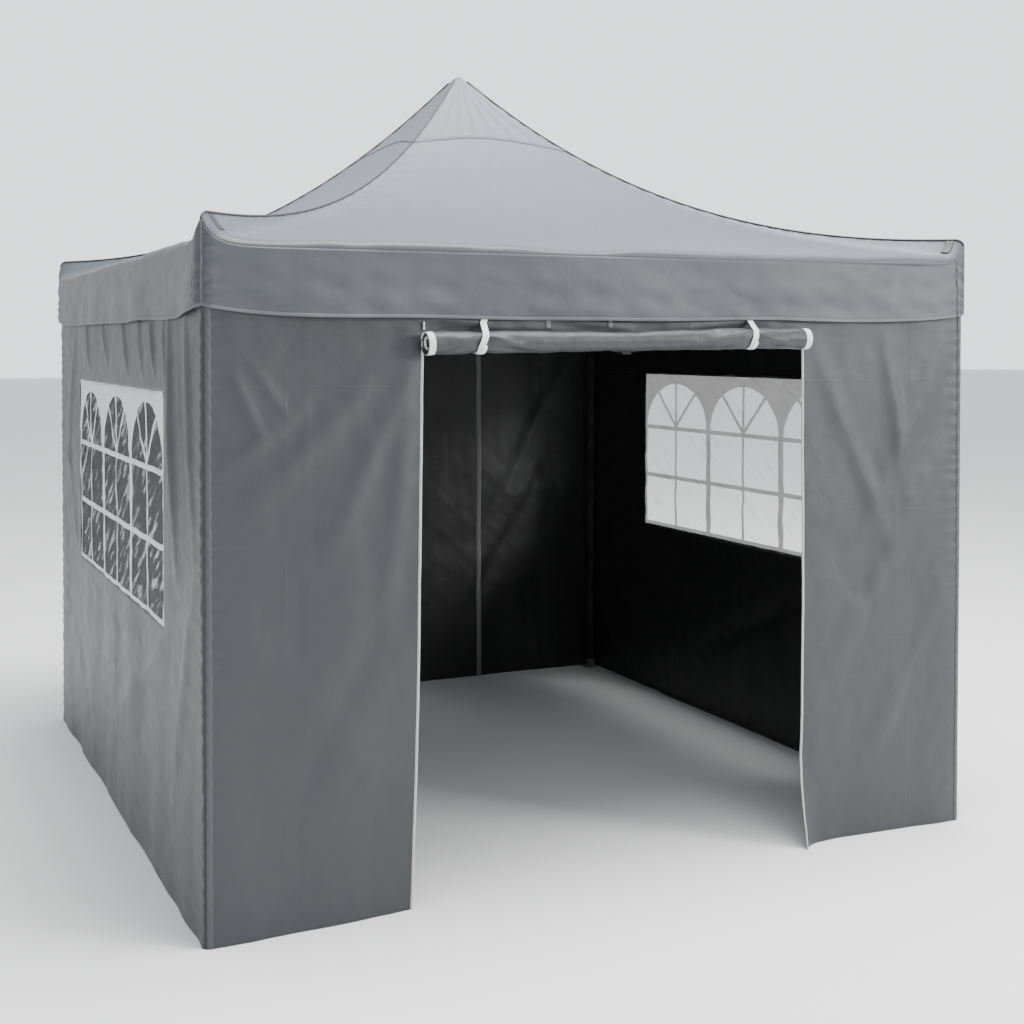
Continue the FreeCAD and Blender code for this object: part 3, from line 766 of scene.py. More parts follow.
# %% [markdown]
# ## The walls
# The walls hang from the upper bars and reach the ground. Each has its own list of slack folds on top
# of its ripples: a fold is the line it follows on the cloth, from and to, then its width and its depth.
# At the doorway the loose edges swing in at the bottom, and the right one curls out at its hem.

# %% Wall folds
DOOR_LEFT, DOOR_RIGHT, DOOR_TOP = -0.775, 0.735, 1.862
WINDOW_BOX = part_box("window_right")
WINDOW_TOP, WINDOW_LOW = WINDOW_BOX[1][2], WINDOW_BOX[0][2]
WINDOW_NEAR, WINDOW_FAR = WINDOW_BOX[0][1], WINDOW_BOX[1][1]
WINDOW_SPAN = WINDOW_FAR - WINDOW_NEAR
WINDOW_MIDDLE = (WINDOW_FAR + WINDOW_NEAR) / 2
WALL_END = flat_half(WALL_FACE, WALL_CORNER)

SLACK_FOLDS = {
    "front": [((-0.76, 1.945), (-0.42, 1.895), 0.010, 0.0050), ((-0.36, 1.950), (0.05, 1.900), 0.010, 0.0045),
              ((0.12, 1.900), (0.62, 1.945), 0.011, 0.0045), ((-0.50, 1.915), (-0.20, 1.895), 0.008, 0.0040),
              ((-0.76, 1.92), (-1.10, 1.15), 0.045, 0.0075), ((-0.78, 1.90), (-1.38, 1.30), 0.05, 0.0070),
              ((-0.80, 1.90), (-0.90, 0.85), 0.04, 0.0060), ((-1.10, 1.70), (-1.46, 1.44), 0.03, 0.0050),
              ((-1.40, 1.78), (-1.28, 1.52), 0.018, 0.0035), ((-1.34, 1.80), (-1.20, 1.60), 0.016, 0.0030),
              ((-1.45, 1.02), (-0.90, 0.45), 0.08, 0.0060), ((-0.80, 1.15), (-1.30, 0.25), 0.06, -0.0050),
              ((1.44, 1.95), (0.98, 1.10), 0.06, 0.0080), ((1.42, 1.50), (0.85, 0.62), 0.05, 0.0060),
              ((1.10, 1.93), (1.22, 1.25), 0.035, 0.0060), ((0.76, 1.90), (1.18, 1.00), 0.04, 0.0060),
              ((1.40, 0.95), (1.00, 0.20), 0.05, 0.0050), ((0.80, 1.20), (1.30, 0.55), 0.04, -0.0040)],
    "left": [((-1.02, 2.02), (-1.12, 1.05), 0.030, 0.0130), ((-1.15, 2.02), (-1.34, 0.95), 0.030, -0.0050),
             ((-1.27, 2.02), (-1.38, 1.15), 0.028, 0.0110), ((-0.93, 2.02), (-1.00, 1.45), 0.020, 0.0070),
             ((-0.72, 2.00), (-0.78, 1.71), 0.020, 0.0080), ((-0.48, 2.00), (-0.60, 1.71), 0.020, 0.0070),
             ((-0.15, 2.00), (-0.30, 1.71), 0.022, 0.0070), ((0.30, 2.00), (0.15, 1.72), 0.025, 0.0060),
             ((0.70, 2.00), (0.60, 1.72), 0.025, 0.0060), ((1.00, 1.98), (1.25, 1.20), 0.05, 0.0080),
             ((-1.42, 1.25), (-1.05, 0.25), 0.05, 0.0070), ((-0.95, 0.86), (0.10, 0.30), 0.06, 0.0060),
             ((1.38, 1.10), (0.60, 0.15), 0.07, -0.0050), ((1.35, 1.60), (0.95, 0.80), 0.04, 0.0060)],
    "right": [((-1.10, 2.00), (-1.28, 0.95), 0.035, 0.0080), ((1.00, 2.00), (1.30, 1.05), 0.05, 0.0080),
              ((-0.92, 0.86), (0.40, 0.30), 0.06, 0.0060), ((0.55, 2.00), (0.40, 1.72), 0.025, 0.0060),
              ((-0.40, 2.00), (-0.52, 1.72), 0.022, 0.0060), ((-1.38, 1.40), (-1.10, 0.30), 0.05, 0.0060)],
    "back": [((-1.42, 1.95), (-0.75, 0.70), 0.06, 0.0080), ((1.42, 1.95), (0.70, 0.60), 0.06, 0.0080),
             ((-0.30, 1.92), (-0.12, 0.40), 0.045, 0.0060), ((0.40, 1.85), (0.90, 0.75), 0.04, -0.0050),
             ((-1.20, 1.20), (-0.60, 0.20), 0.05, 0.0060), ((0.20, 1.10), (0.55, 0.25), 0.05, 0.0050)],
}
STAR_CREASE = (-1.16, 1.47)


def packing_creases(u, z, seed):
    """Sharp faint ridges on the folding lines, sharpest where two lines cross, and fading in places."""
    patchy = 0.55 + 0.45 * ripples(u, z, 0.5, seed)
    ridge = 0.0
    for line in np.arange(STAR_CREASE[0], 1.45, 0.58):
        ridge = ridge + np.exp(-((u - line) / 0.007) ** 2)
    for line in (STAR_CREASE[1] - 0.98, STAR_CREASE[1] - 0.49, STAR_CREASE[1]):
        ridge = ridge + np.exp(-((z - line) / 0.007) ** 2)
    return 0.0016 * ridge * np.clip(patchy, 0, 1.2)


def star_crease(u, z):
    """The small star of creases left where four layers were folded together."""
    du, dz = u - STAR_CREASE[0], z - STAR_CREASE[1]
    distance = np.hypot(du, dz)
    rays = np.cos(7 * np.arctan2(dz, du)) ** 2
    return 0.0022 * rays * np.exp(-distance / 0.05)


def jamb_swing(u, z):
    """The loose edges beside the doorway: swung in at the bottom, the right one curled out at its hem."""
    low = np.clip(1 - z / 1.1, 0, 1) ** 2
    left = -0.045 * low * np.exp(-np.abs(u - DOOR_LEFT) / 0.25)
    right = -0.045 * low * np.exp(-np.abs(u - DOOR_RIGHT) / 0.25)
    curl = 0.075 * np.clip(1 - z / 0.35, 0, 1) ** 1.5 * np.exp(-np.abs(u - DOOR_RIGHT) / 0.05)
    return np.where(u < 0, left, right + curl)


def jamb_lean(u, z):
    """How far the jambs lean sideways: out at the bottom and in at the top."""
    high = np.clip(z / DOOR_TOP, 0, 1)
    left = (0.012 * high - 0.011 * (1 - high)) * np.exp(-np.abs(u - DOOR_LEFT) / 0.25)
    right = (-0.011 * high + 0.004 * (1 - high)) * np.exp(-np.abs(u - DOOR_RIGHT) / 0.25)
    header = np.clip((WALL_TOP - z) / (WALL_TOP - DOOR_TOP), 0, 1)
    return np.where(u < 0, left, right) * header


def wall_relief(u, z, side):
    """How far the cloth stands out from the wall's flat place, in metres."""
    seed = 200 + 10 * SIDES[side]
    loose = np.clip((WALL_TOP - z) / 1.2, 0.15, 1)
    out = 0.0045 * ripples(u * 1.5, z * 0.35, 0.75, seed) * loose
    out = out + 0.0020 * ripples(u, z * 0.6, 0.28, seed + 1) + 0.0006 * ripples(u, z, 0.1, seed + 2)
    for start, end, width, depth in SLACK_FOLDS[side]:
        out = out + 1.4 * depth * fold(u, z, start, end, width)
    out = out + packing_creases(u, z, seed + 4)
    if side == "front":
        out = out + star_crease(u, z)
    end = WALL_END - np.abs(u)
    free = 1 - np.exp(-end / 0.05)
    ruck = 0.0026 * pucker(end - 0.024, z, 0.03, 0.05, seed + 3) * np.minimum(1, end / 0.01)
    if side in ("left", "right"):
        out = out * (1 - 0.75 * window_share(u, z))
    out = np.maximum(out, -0.004) * free + ruck + 0.001 * np.minimum(1, end / 0.01)
    if side == "front":
        out = out + jamb_swing(u, z)
    return np.where(z > 1.93, np.minimum(out, 0.006), out)


def window_share(u, z):
    """1 on the window and fading to 0 a hand's breadth around it."""
    far_u = np.maximum(np.abs(u - WINDOW_MIDDLE) - WINDOW_SPAN / 2, 0)
    far_z = np.maximum(np.maximum(z - WINDOW_TOP, WINDOW_LOW - z), 0)
    return np.exp(-(np.hypot(far_u, far_z) / 0.07) ** 2)


def wall_place(side, lift=0.0):
    def place(u, z):
        mirror = -1 if side == "left" else 1
        x, inset = corner_bend(u, WALL_FACE, WALL_CORNER)
        if side == "front":
            x = x + jamb_lean(u, z) * np.minimum(1, (WALL_END - np.abs(u)) / 0.1)
        return x, -(WALL_FACE - inset + wall_relief(mirror * u, z, side) + lift), z
    return place


# %% [markdown]
# The left wall's window is a mirror image of the right one's, so its measure is taken from the other
# end. The grid lines of each wall run exactly along its openings, so the cut edges come out straight.

# %% The four walls
def wall_opening(side):
    if side == "front":
        return lambda u, z: (u > DOOR_LEFT) & (u < DOOR_RIGHT) & (z < DOOR_TOP)
    if side == "back":
        return None
    hand = -1 if side == "left" else 1
    low, high = sorted((hand * WINDOW_NEAR, hand * WINDOW_FAR))
    return lambda u, z: (u > low) & (u < high) & (z > WINDOW_LOW) & (z < WINDOW_TOP)


def wall_stops(side):
    if side == "front":
        return [-WALL_END, DOOR_LEFT, DOOR_RIGHT, WALL_END], [WALL_HEM, DOOR_TOP, WALL_TOP]
    if side == "back":
        return [-WALL_END, WALL_END], [WALL_HEM, WALL_TOP]
    hand = -1 if side == "left" else 1
    low, high = sorted((hand * WINDOW_NEAR, hand * WINDOW_FAR))
    return [-WALL_END, low, high, WALL_END], [WALL_HEM, WINDOW_LOW, WINDOW_TOP, WALL_TOP]


def make_wall(side, quarter):
    stops_u, stops_z = wall_stops(side)
    wall = grid_piece("wall_" + side + "_cloth", spaced(stops_u, 0.0125), spaced(stops_z, 0.0125),
                      wall_place(side), quarter, [WALL_CLOTH, LINING], opening=wall_opening(side))
    ride_with_wall(wall, side)
    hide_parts("wall_" + side)
    return wall


walls = {side: make_wall(side, quarter) for side, quarter in SIDES.items()}
print("walls:", {side: len(wall.data.vertices) for side, wall in walls.items()})

# %% [markdown]
# ## Windows
# Each side window is one clear film with three round arches printed on it in white: a solid band above
# the arches, a column between the bays, a mullion and two spokes in each arch, and two rows of panes.
# The print is drawn as a flat outline with holes, because Blender fills such a curve by itself, then
# cut into small cells so that it can follow the waves of the film.

# %% The printed glazing bars
BAYS = 3
ARCH_TOP, FIRST_BAR, SECOND_BAR, LAST_BAR = 0.058, 0.349, 0.669, 0.977
COLUMN, MULLION, BAR = 0.040, 0.018, 0.021


def arch_panes(middle, spring, half_width, rise):
    """Four wedge panes under one arch, between the mullion and two spokes."""
    panes = []
    gap = MULLION / 2
    for k in range(4):
        lines = []
        for angle, hand in ((k * math.pi / 4, 1), ((k + 1) * math.pi / 4, -1)):
            ahead = np.array([math.cos(angle), math.sin(angle)])
            square = np.array([-ahead[1], ahead[0]]) * hand
            inset = 0.0 if angle in (0.0, math.pi) else gap
            lines.append((square * inset, ahead))
        (p, d), (q, e) = lines          # a point and a direction each; the pane's corner is where they cross
        corner = p + d * np.linalg.solve(np.array([d, -e]).T, q - p)[0]
        ends = []
        for point, ahead in lines:
            a = (ahead[0] / half_width) ** 2 + (ahead[1] / rise) ** 2
            b = 2 * (point[0] * ahead[0] / half_width ** 2 + point[1] * ahead[1] / rise ** 2)
            c = (point[0] / half_width) ** 2 + (point[1] / rise) ** 2 - 1
            hit = point + ahead * ((-b + math.sqrt(b * b - 4 * a * c)) / (2 * a))
            ends.append(math.atan2(hit[1] / rise, hit[0] / half_width))
        arc = [(half_width * math.cos(t), rise * math.sin(t)) for t in np.linspace(ends[0], ends[1], 12)]
        panes.append([(middle + x, spring + y) for x, y in [tuple(corner)] + arc])
    return panes


def window_outlines():
    """The outer edge of the print and every pane in it, as lists of (along, height)."""
    tall = WINDOW_TOP - WINDOW_LOW
    left = WINDOW_MIDDLE - WINDOW_SPAN / 2
    bay = WINDOW_SPAN / BAYS
    right = left + WINDOW_SPAN
    edge = [(left, WINDOW_LOW), (right, WINDOW_LOW), (right, WINDOW_TOP), (left, WINDOW_TOP)]
    holes = []
    for i in range(BAYS):
        middle = left + bay * (i + 0.5)
        half_width = (bay - COLUMN) / 2
        spring = WINDOW_TOP - tall * FIRST_BAR + BAR / 2
        holes += arch_panes(middle, spring, half_width, WINDOW_TOP - tall * ARCH_TOP - spring)
        for top, low in ((FIRST_BAR, SECOND_BAR), (SECOND_BAR, LAST_BAR)):
            high = WINDOW_TOP - tall * top - BAR / 2
            deep = WINDOW_TOP - tall * low + (BAR / 2 if low == SECOND_BAR else 0)
            for hand in (-1, 1):
                x0, x1 = sorted((middle + hand * MULLION / 2, middle + hand * half_width))
                holes.append([(x0, deep), (x1, deep), (x1, high), (x0, high)])
    return edge, holes


def filled_outline(edge, holes):
    """Points and faces of a flat shape with holes, cut into cells a few centimetres wide."""
    curve = bpy.data.curves.new("outline", "CURVE")
    curve.dimensions = "2D"
    curve.fill_mode = "BOTH"
    for outline in [edge] + holes:
        spline = curve.splines.new("POLY")
        spline.points.add(len(outline) - 1)
        for point, (x, y) in zip(spline.points, outline):
            point.co = (x, y, 0, 1)
        spline.use_cyclic_u = True
    drawing = bpy.data.objects.new("outline", curve)
    bpy.context.collection.objects.link(drawing)
    flat = bpy.data.meshes.new_from_object(drawing)
    bpy.data.objects.remove(drawing)
    work = bmesh.new()
    work.from_mesh(flat)
    bmesh.ops.remove_doubles(work, verts=work.verts, dist=0.0002)
    for axis, low, high in ((0, edge[0][0], edge[1][0]), (1, edge[0][1], edge[2][1])):
        for cut in spaced([low, high], 0.03)[1:-1]:
            point, normal = [0, 0, 0], [0, 0, 0]
            point[axis], normal[axis] = float(cut), 1
            geometry = work.verts[:] + work.edges[:] + work.faces[:]
            bmesh.ops.bisect_plane(work, geom=geometry, plane_co=point, plane_no=normal, dist=1e-5)
    points = np.array([v.co[:2] for v in work.verts])
    work.verts.index_update()
    faces = []
    for face in work.faces:
        corners = [v.index for v in face.verts]
        faces.append(corners if face.normal.z > 0 else corners[::-1])
    work.free()
    return points, faces


def film_wave(u, z, seed):
    """Slanting crinkles that a rolled film keeps."""
    wide = 0.0020 * ripples(u + 0.6 * z, z * 0.4, 0.16, seed)
    return wide + 0.0010 * ripples(u + 0.8 * z, z, 0.08, seed + 1)


def make_window(side, quarter):
    hand = -1 if side == "left" else 1
    seed = 400 + quarter

    def place(u, z, lift):
        wave = film_wave(hand * u, z, seed)
        return u, -(WALL_FACE + wall_relief(hand * u, z, side) + wave + lift), z

    low, high = sorted((hand * WINDOW_NEAR, hand * WINDOW_FAR))
    overlap = 0.012
    film = grid_piece("window_film_" + side, spaced([low - overlap, high + overlap], 0.014),
                      spaced([WINDOW_LOW - overlap, WINDOW_TOP + overlap], 0.014),
                      lambda u, z: place(u, z, -0.0030), quarter, [FILM[side]], 0.0005)
    points, faces = filled_outline(*window_outlines())
    if hand < 0:
        points = points * [-1, 1]
        faces = [face[::-1] for face in faces]
    placed = np.stack(quarter_turn(place(points[:, 0], points[:, 1], -0.0014), quarter), -1)
    ink = make_mesh("window_print_" + side, placed, faces, points, [PRINT_OUT, PRINT_IN])
    thicken(ink, 0.0008, 1)
    for piece in (film, ink):
        ride_with_wall(piece, side)
    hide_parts("window_" + side)
    return ink


for side in ("left", "right"):
    ink = make_window(side, SIDES[side])
print("window print:", len(ink.data.polygons), "faces")

# %% [markdown]
# ## The rolled door
# The door is rolled up from its hem and tied over the doorway. The roll is one sheet wound in a spiral,
# so its ends show the turns, some of them edged with the white tape of the side zips. The door is as
# long as its doorway is high, and that length and the roll's radius give the number of turns. The ties
# squeeze the roll, and between them it sags and its outer turn creases. A fold of the roll is given by
# the side of the tie it is on, where round the roll it starts, its reach and its depth.

# %% The roll and its ties
ROLL_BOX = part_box("door_roll")
ROLL_LEFT, ROLL_RIGHT = ROLL_BOX[0][0] + 0.004, ROLL_BOX[1][0] - 0.020
ROLL_Y, ROLL_Z = (ROLL_BOX[0][1] + ROLL_BOX[1][1]) / 2, (ROLL_BOX[0][2] + ROLL_BOX[1][2]) / 2
ROLL_RADIUS = (ROLL_BOX[1][2] - ROLL_BOX[0][2]) / 2
TIES = (-0.582, 0.470)
ROLL_FOLDS = {
    TIES[0]: [(1, 0.035, 0.16, 0.007), (1, 0.070, 0.22, -0.005), (-1, 0.030, 0.12, 0.006),
              (-1, 0.060, 0.15, -0.005)],
    TIES[1]: [(-1, 0.035, 0.26, 0.007), (1, 0.040, 0.16, 0.006), (-1, 0.075, 0.20, -0.004),
              (1, 0.075, 0.18, -0.004)],
}
DOOR_LENGTH = DOOR_TOP
CORE = 0.24
SQUEEZED = 0.0055
TURNS = DOOR_LENGTH / (math.pi * (1 + CORE) * (ROLL_RADIUS - SQUEEZED))
ZIP_EDGE = 0.028
ROLL_END = 0.004


def roll_radius(x, angle):
    """The outer radius of the roll at a place along it, seen from its axis."""
    squeeze = sum(0.005 * np.exp(-((x - tie) / 0.03) ** 2) for tie in TIES)
    slack = 0.006 * np.exp(-((x + 0.05) / 0.30) ** 2)
    crease = 0.0016 * ripples(x, angle * 0.03, 0.16, 501)
    crease = crease + 0.0007 * ripples(x, angle * 0.05, 0.06, 502)
    around = ROLL_RADIUS * np.mod(angle, 2 * math.pi)
    pulled = 0.0
    for tie, folds in ROLL_FOLDS.items():
        for hand, start, reach, depth in folds:
            end = (tie + hand * reach, start + 0.05)
            pulled = pulled + depth * fold(x, around, (tie, start), end, 0.010)
    ends = 1 - np.clip((np.maximum(ROLL_LEFT - x, x - ROLL_RIGHT) + 0.04) / 0.03, 0, 1)
    return ROLL_RADIUS - 0.002 - squeeze - slack + (crease + pulled) * ends


def roll_sag(x):
    """How far the roll hangs low: between its ties, at its free ends, and more at the left than right."""
    share = np.clip((x - TIES[0]) / (TIES[1] - TIES[0]), 0, 1)
    outside = np.maximum(np.maximum(TIES[0] - x, x - TIES[1]), 0)
    return 0.004 * np.sin(math.pi * share) ** 2 + 0.08 * outside ** 2 - 0.013 * x


def roll_place(x, turn):
    angle = 2 * math.pi * turn
    outer = roll_radius(x, angle)
    radius = outer * (CORE + (1 - CORE) * turn / TURNS)
    ragged = 0.004 * np.sin(angle * 0.7 + 1.0) * np.clip((np.abs(x) - 0.70) / 0.05, 0, 1) * np.sign(x)
    tucked = 0.014 * (1 - turn / TURNS) * np.clip((np.abs(x) - 0.66) / 0.05, 0, 1) * np.sign(x)
    y = ROLL_Y - radius * np.sin(angle)
    z = ROLL_Z + radius * np.cos(angle) - roll_sag(x)
    return x + ragged - tucked, y, z


def make_roll():
    stops = [ROLL_LEFT + ROLL_END, ROLL_LEFT + ZIP_EDGE, ROLL_RIGHT - ZIP_EDGE, ROLL_RIGHT - ROLL_END]
    x = spaced(stops, 0.011)
    turn = np.concatenate([np.arange(0, TURNS - 1.1, 1 / 22), np.linspace(TURNS - 1.1, TURNS, 45)])

    def edges(u, v):
        """White tape at both ends, on the outer turn and on those half way in."""
        at_end = (u < ROLL_LEFT + ZIP_EDGE) | (u > ROLL_RIGHT - ZIP_EDGE)
        return (at_end & ((v > TURNS - 1.05) | ((v > 0.3 * TURNS) & (v < 0.5 * TURNS)))) * 1

    roll = grid_piece("door_roll_cloth", x, turn, roll_place, 0, [WALL_CLOTH, WEBBING], 0.0010,
                      paint=edges, flat=lambda a, b: (a, b * DOOR_LENGTH / TURNS))
    ride_with_wall(roll, "front")
    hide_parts("door_roll")
    return roll


def tie_path(grow):
    """The strap's line in a cross cut: straight from its seam under the valance to the front of the roll,
    then round and under it."""
    radius = ROLL_RADIUS - 0.004 + grow
    top_y, top_z = -WALL_FACE - 0.0095, 1.929
    points = [(top_y + 0.001, 1.962), (top_y + 0.0005, 1.945)]
    tangent = math.radians(32)
    first = (ROLL_Y - radius * math.sin(tangent), ROLL_Z + radius * math.cos(tangent))
    for share in np.linspace(0, 1, 8)[:-1]:
        points.append((top_y + (first[0] - top_y) * share, top_z + (first[1] - top_z) * share))
    for angle in np.linspace(tangent, math.radians(235), 30):
        points.append((ROLL_Y - radius * math.sin(angle), ROLL_Z + radius * math.cos(angle)))
    return np.array(points)


def make_tie(name, middle, path, lean, width=0.022, thickness=0.0016):
    """A strap along a path. lean is how far its top is set to the right of its bottom."""
    steps = np.arange(len(path))
    halves = np.array([-0.5, -0.46, 0.46, 0.5]) * width

    def place(along, across):
        index = along.astype(int)
        y = path[index, 0] + np.where(np.abs(across) > 0.47 * width, 0.0004, 0.0)
        drop = roll_sag(np.full_like(across, middle))
        side = lean * np.clip((path[index, 1] - ROLL_Z) / 0.096, -0.15, 1)
        return middle + across + side, y, path[index, 1] - drop

    tie = grid_piece(name, steps, halves, place, 0, [WEBBING], -thickness, flat=lambda a, b: (a * 0.005, b))
    ride_with_wall(tie, "front")
    return tie


roll = make_roll()
for label, middle, lean in zip(("left", "right"), TIES, (0.042, 0.034)):
    tie = make_tie("door_tie_" + label, middle, tie_path(0.0004), lean)
    make_tie("door_tie_end_" + label, middle + 0.002, tie_path(0.0026)[20:34], 0.0, width=0.020)
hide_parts("door_straps")


def make_puller():
    """The door zip's puller, parked at the roll's left end: a short tongue on a small slider."""
    path = [(DOOR_LEFT + 0.012, -WALL_FACE - 0.007, z) for z in np.linspace(1.924, 1.898, 6)]
    radii = [0.0022, 0.0035, 0.0035, 0.0022, 0.0040, 0.0045]
    puller = round_tube("zip_puller", path, radii, [WEBBING])
    ride_with_wall(puller, "front")


make_puller()
print("roll:", len(roll.data.vertices), "points,", round(TURNS, 1), "turns")

# %% [markdown]
# ## Zips, seams and small sewn parts
# The details that make cloth look sewn: white zip tape down both sides of the doorway, two zips in the
# back wall, felled seams beside the corners, bound corners on the valance, a seam over each window and
# hook-and-loop tabs over the door.

# %% Zips and corner seams
BACK_ZIP_TOP = 1.80
def wall_strip(name, side, u_stops, z_stops, lift, materials, thickness=0.0012, step=0.012, flat=None):
    """A flat strip sewn on a wall, following its folds."""
    piece = grid_piece(name, spaced(u_stops, step), spaced(z_stops, step), wall_place(side, lift),
                       SIDES[side], materials, thickness, flat=flat)
    ride_with_wall(piece, side)
    return piece


def make_zip(name, side, u, low, high, lift, width, tape_finish):
    """A zip: its tape and a coil of teeth down the middle."""
    tape = wall_strip(name + "_tape", side, [u - width / 2, u + width / 2], [low, high], lift, [tape_finish])
    z = spaced([low, high], 0.006)
    x, y, z = wall_place(side, lift + (0.0006 if lift > 0 else -0.0016))(np.full_like(z, u), z)
    path = np.stack(quarter_turn((x, y, z), SIDES[side]), -1)
    beads = 0.0018 + 0.0005 * (np.arange(len(path)) % 2)
    coil = round_tube(name + "_coil", path, beads, [tape_finish], turns=6)
    ride_with_wall(coil, side)


for label, edge, hand in (("left", DOOR_LEFT, -1), ("right", DOOR_RIGHT, 1)):
    make_zip("door_zip_" + label, "front", edge + 0.0045 * hand, WALL_HEM, DOOR_TOP, 0.0010, 0.009, ZIP_TAPE)
for label, edge in (("left", 0.745), ("right", -0.765)):
    make_zip("back_zip_" + label, "back", edge, WALL_HEM, BACK_ZIP_TOP, -0.0020, 0.027, GREY_TAPE)
    make_zip("back_zip_outside_" + label, "back", edge, WALL_HEM, BACK_ZIP_TOP, 0.0010, 0.012, ZIP_TAPE)


def make_corner_seam(side, hand):
    """The felled seam beside a corner, 22 mm wide, with its two rows of stitches."""
    near, far = sorted((hand * (WALL_END - 0.025), hand * (WALL_END - 0.003)))
    middle = (near + far) / 2
    seam = wall_strip(f"corner_seam_{side}_{hand_name(hand)}", side, [near, far], [WALL_HEM, 2.0], 0.0009,
                      [WALL_SEAM], 0.0009, 0.011, flat=lambda u, z: (z, u - middle))


def make_valance_seam(side, hand):
    """The bound corner where two flaps of the valance meet."""
    rise = np.linspace(0, 1, 40)
    u = np.full_like(rise, hand * VALANCE_END)
    x, y, z = quarter_turn(valance_place(100)(u, rise), SIDES[side])
    seam = round_tube(f"valance_seam_{side}_{hand_name(hand)}", np.stack([x, y, z], -1), 0.0036, [BINDING])
    ride_with_wall(seam, side)


for side in ("front", "back"):
    for hand in (-1, 1):
        make_corner_seam(side, hand)
        make_valance_seam(side, hand)
for side in ("left", "right"):
    band = wall_strip("window_seam_" + side, side, [0.03 - WALL_END, WALL_END - 0.03],
                      [WINDOW_TOP + 0.004, WINDOW_TOP + 0.016], -0.0018, [INSIDE_SEAM], 0.001,
                      flat=lambda u, z: (u, z - WINDOW_TOP - 0.010))
for label, middle in (("left", -0.314), ("right", -0.078)):
    tab = wall_strip("door_tab_" + label, "front", [middle - 0.009, middle + 0.009], [1.905, 1.945], 0.0016,
                     [GREY_TAPE], 0.0014, 0.006)

# %% [markdown]
# ## The steel and the plastic
# The frame is powder-coated steel tube with moulded nylon joints. A powder coat has a fine orange peel
# and wears at the edges, and nylon is duller with faint flow marks. One group adds edge wear to both.
# The bolts are small separate islands of each joint's mesh, so they are found by size and get zinc.

# %% Group: worn edge
def build_wear():
    group, given, result = new_group(
        "worn edge", {"Colour": (0.02, 0.02, 0.02, 1.0), "Bare": (0.35, 0.34, 0.33, 1.0), "Wear": 0.5,
                      "Grain": 400.0},
        {"Colour": "NodeSocketColor", "Roughness": "NodeSocketFloat", "Height": "NodeSocketFloat"})
    place = add(group, "ShaderNodeTexCoord").outputs["Object"]
    peel = add(group, "ShaderNodeTexNoise", Vector=place, Scale=given["Grain"], Detail=2.0).outputs[0]
    broad = add(group, "ShaderNodeTexNoise", Vector=place, Scale=12.0, Detail=6.0, Roughness=0.7).outputs[0]
    edge = add(group, "ShaderNodeNewGeometry").outputs["Pointiness"]
    sharp = add(group, "ShaderNodeMapRange", _0=edge, _1=0.53, _2=0.60, _3=0.0, _4=1.0).outputs[0]
    chips = add(group, "ShaderNodeMapRange", _0=broad, _1=0.5, _2=0.7, _3=0.0, _4=1.0).outputs[0]
    mask = maths(group, "MULTIPLY", maths(group, "MULTIPLY", sharp, chips), given["Wear"])
    group.links.new(blended(group, mask, given["Colour"], given["Bare"]), result["Colour"])
    rough = add(group, "ShaderNodeMapRange", _0=broad, _1=0.3, _2=0.7, _3=0.32, _4=0.5).outputs[0]
    group.links.new(rough, result["Roughness"])
    group.links.new(maths(group, "MULTIPLY", peel, 0.0002), result["Height"])
    return group


WORN = build_wear()


def hard_material(name, colour, bare, wear=0.5, grain=400.0, metallic=0.0):
    material, tree, shader = new_material(name)
    worn = use_group(tree, WORN, Colour=colour, Bare=bare, Wear=wear, Grain=grain)
    tree.links.new(worn["Colour"], shader.inputs["Base Color"])
    tree.links.new(worn["Roughness"], shader.inputs["Roughness"])
    bump = add(tree, "ShaderNodeBump", Strength=0.6, Distance=1.0, Height=worn["Height"])
    tree.links.new(bump.outputs[0], shader.inputs["Normal"])
    shader.inputs["Metallic"].default_value = metallic
    return material


POWDER_COAT = hard_material("black powder coat", grey(0.018, 1.05), (0.16, 0.16, 0.165, 1.0), wear=0.25)
NYLON = hard_material("moulded nylon", grey(0.012, 1.0), (0.05, 0.05, 0.05, 1.0), wear=0.3, grain=900.0)
ZINC = hard_material("zinc bolt", (0.55, 0.55, 0.53, 1.0), (0.3, 0.29, 0.27, 1.0), wear=0.6, metallic=1.0)
KNOB = hard_material("pin knob", (0.035, 0.035, 0.038, 1.0), (0.09, 0.09, 0.09, 1.0), wear=0.3, grain=700.0)
GALVANISED = hard_material("galvanised foot", (0.45, 0.46, 0.47, 1.0), (0.3, 0.3, 0.3, 1.0), metallic=1.0)


# %% Frame finishes
SMALL = 0.05


def islands(mesh):
    """The separate bodies of a mesh: for each polygon, the number of its island, and each one's box."""
    parent = list(range(len(mesh.vertices)))

    def root(i):
        while parent[i] != i:
            parent[i] = parent[parent[i]]
            i = parent[i]
        return i

    merged = {}
    for vertex in mesh.vertices:
        key = tuple(round(c, 5) for c in vertex.co)
        parent[root(vertex.index)] = root(merged.setdefault(key, vertex.index))
    for edge in mesh.edges:
        a, b = edge.vertices
        parent[root(a)] = root(b)
    owner = [root(p.vertices[0]) for p in mesh.polygons]
    boxes = {}
    for vertex in mesh.vertices:
        boxes.setdefault(root(vertex.index), []).append(vertex.co[:])
    sizes = {k: np.ptp(np.array(v), axis=0) for k, v in boxes.items()}
    return owner, sizes


def finish_node(node, main, small):
    """Gives a frame node its finish, and its bolts another."""
    mesh = node.data
    mesh.materials.clear()
    mesh.materials.append(main)
    mesh.materials.append(small)
    owner, sizes = islands(mesh)
    index = [int(max(sizes[o]) < SMALL) for o in owner]
    mesh.polygons.foreach_set("material_index", np.array(index, dtype=np.int32))


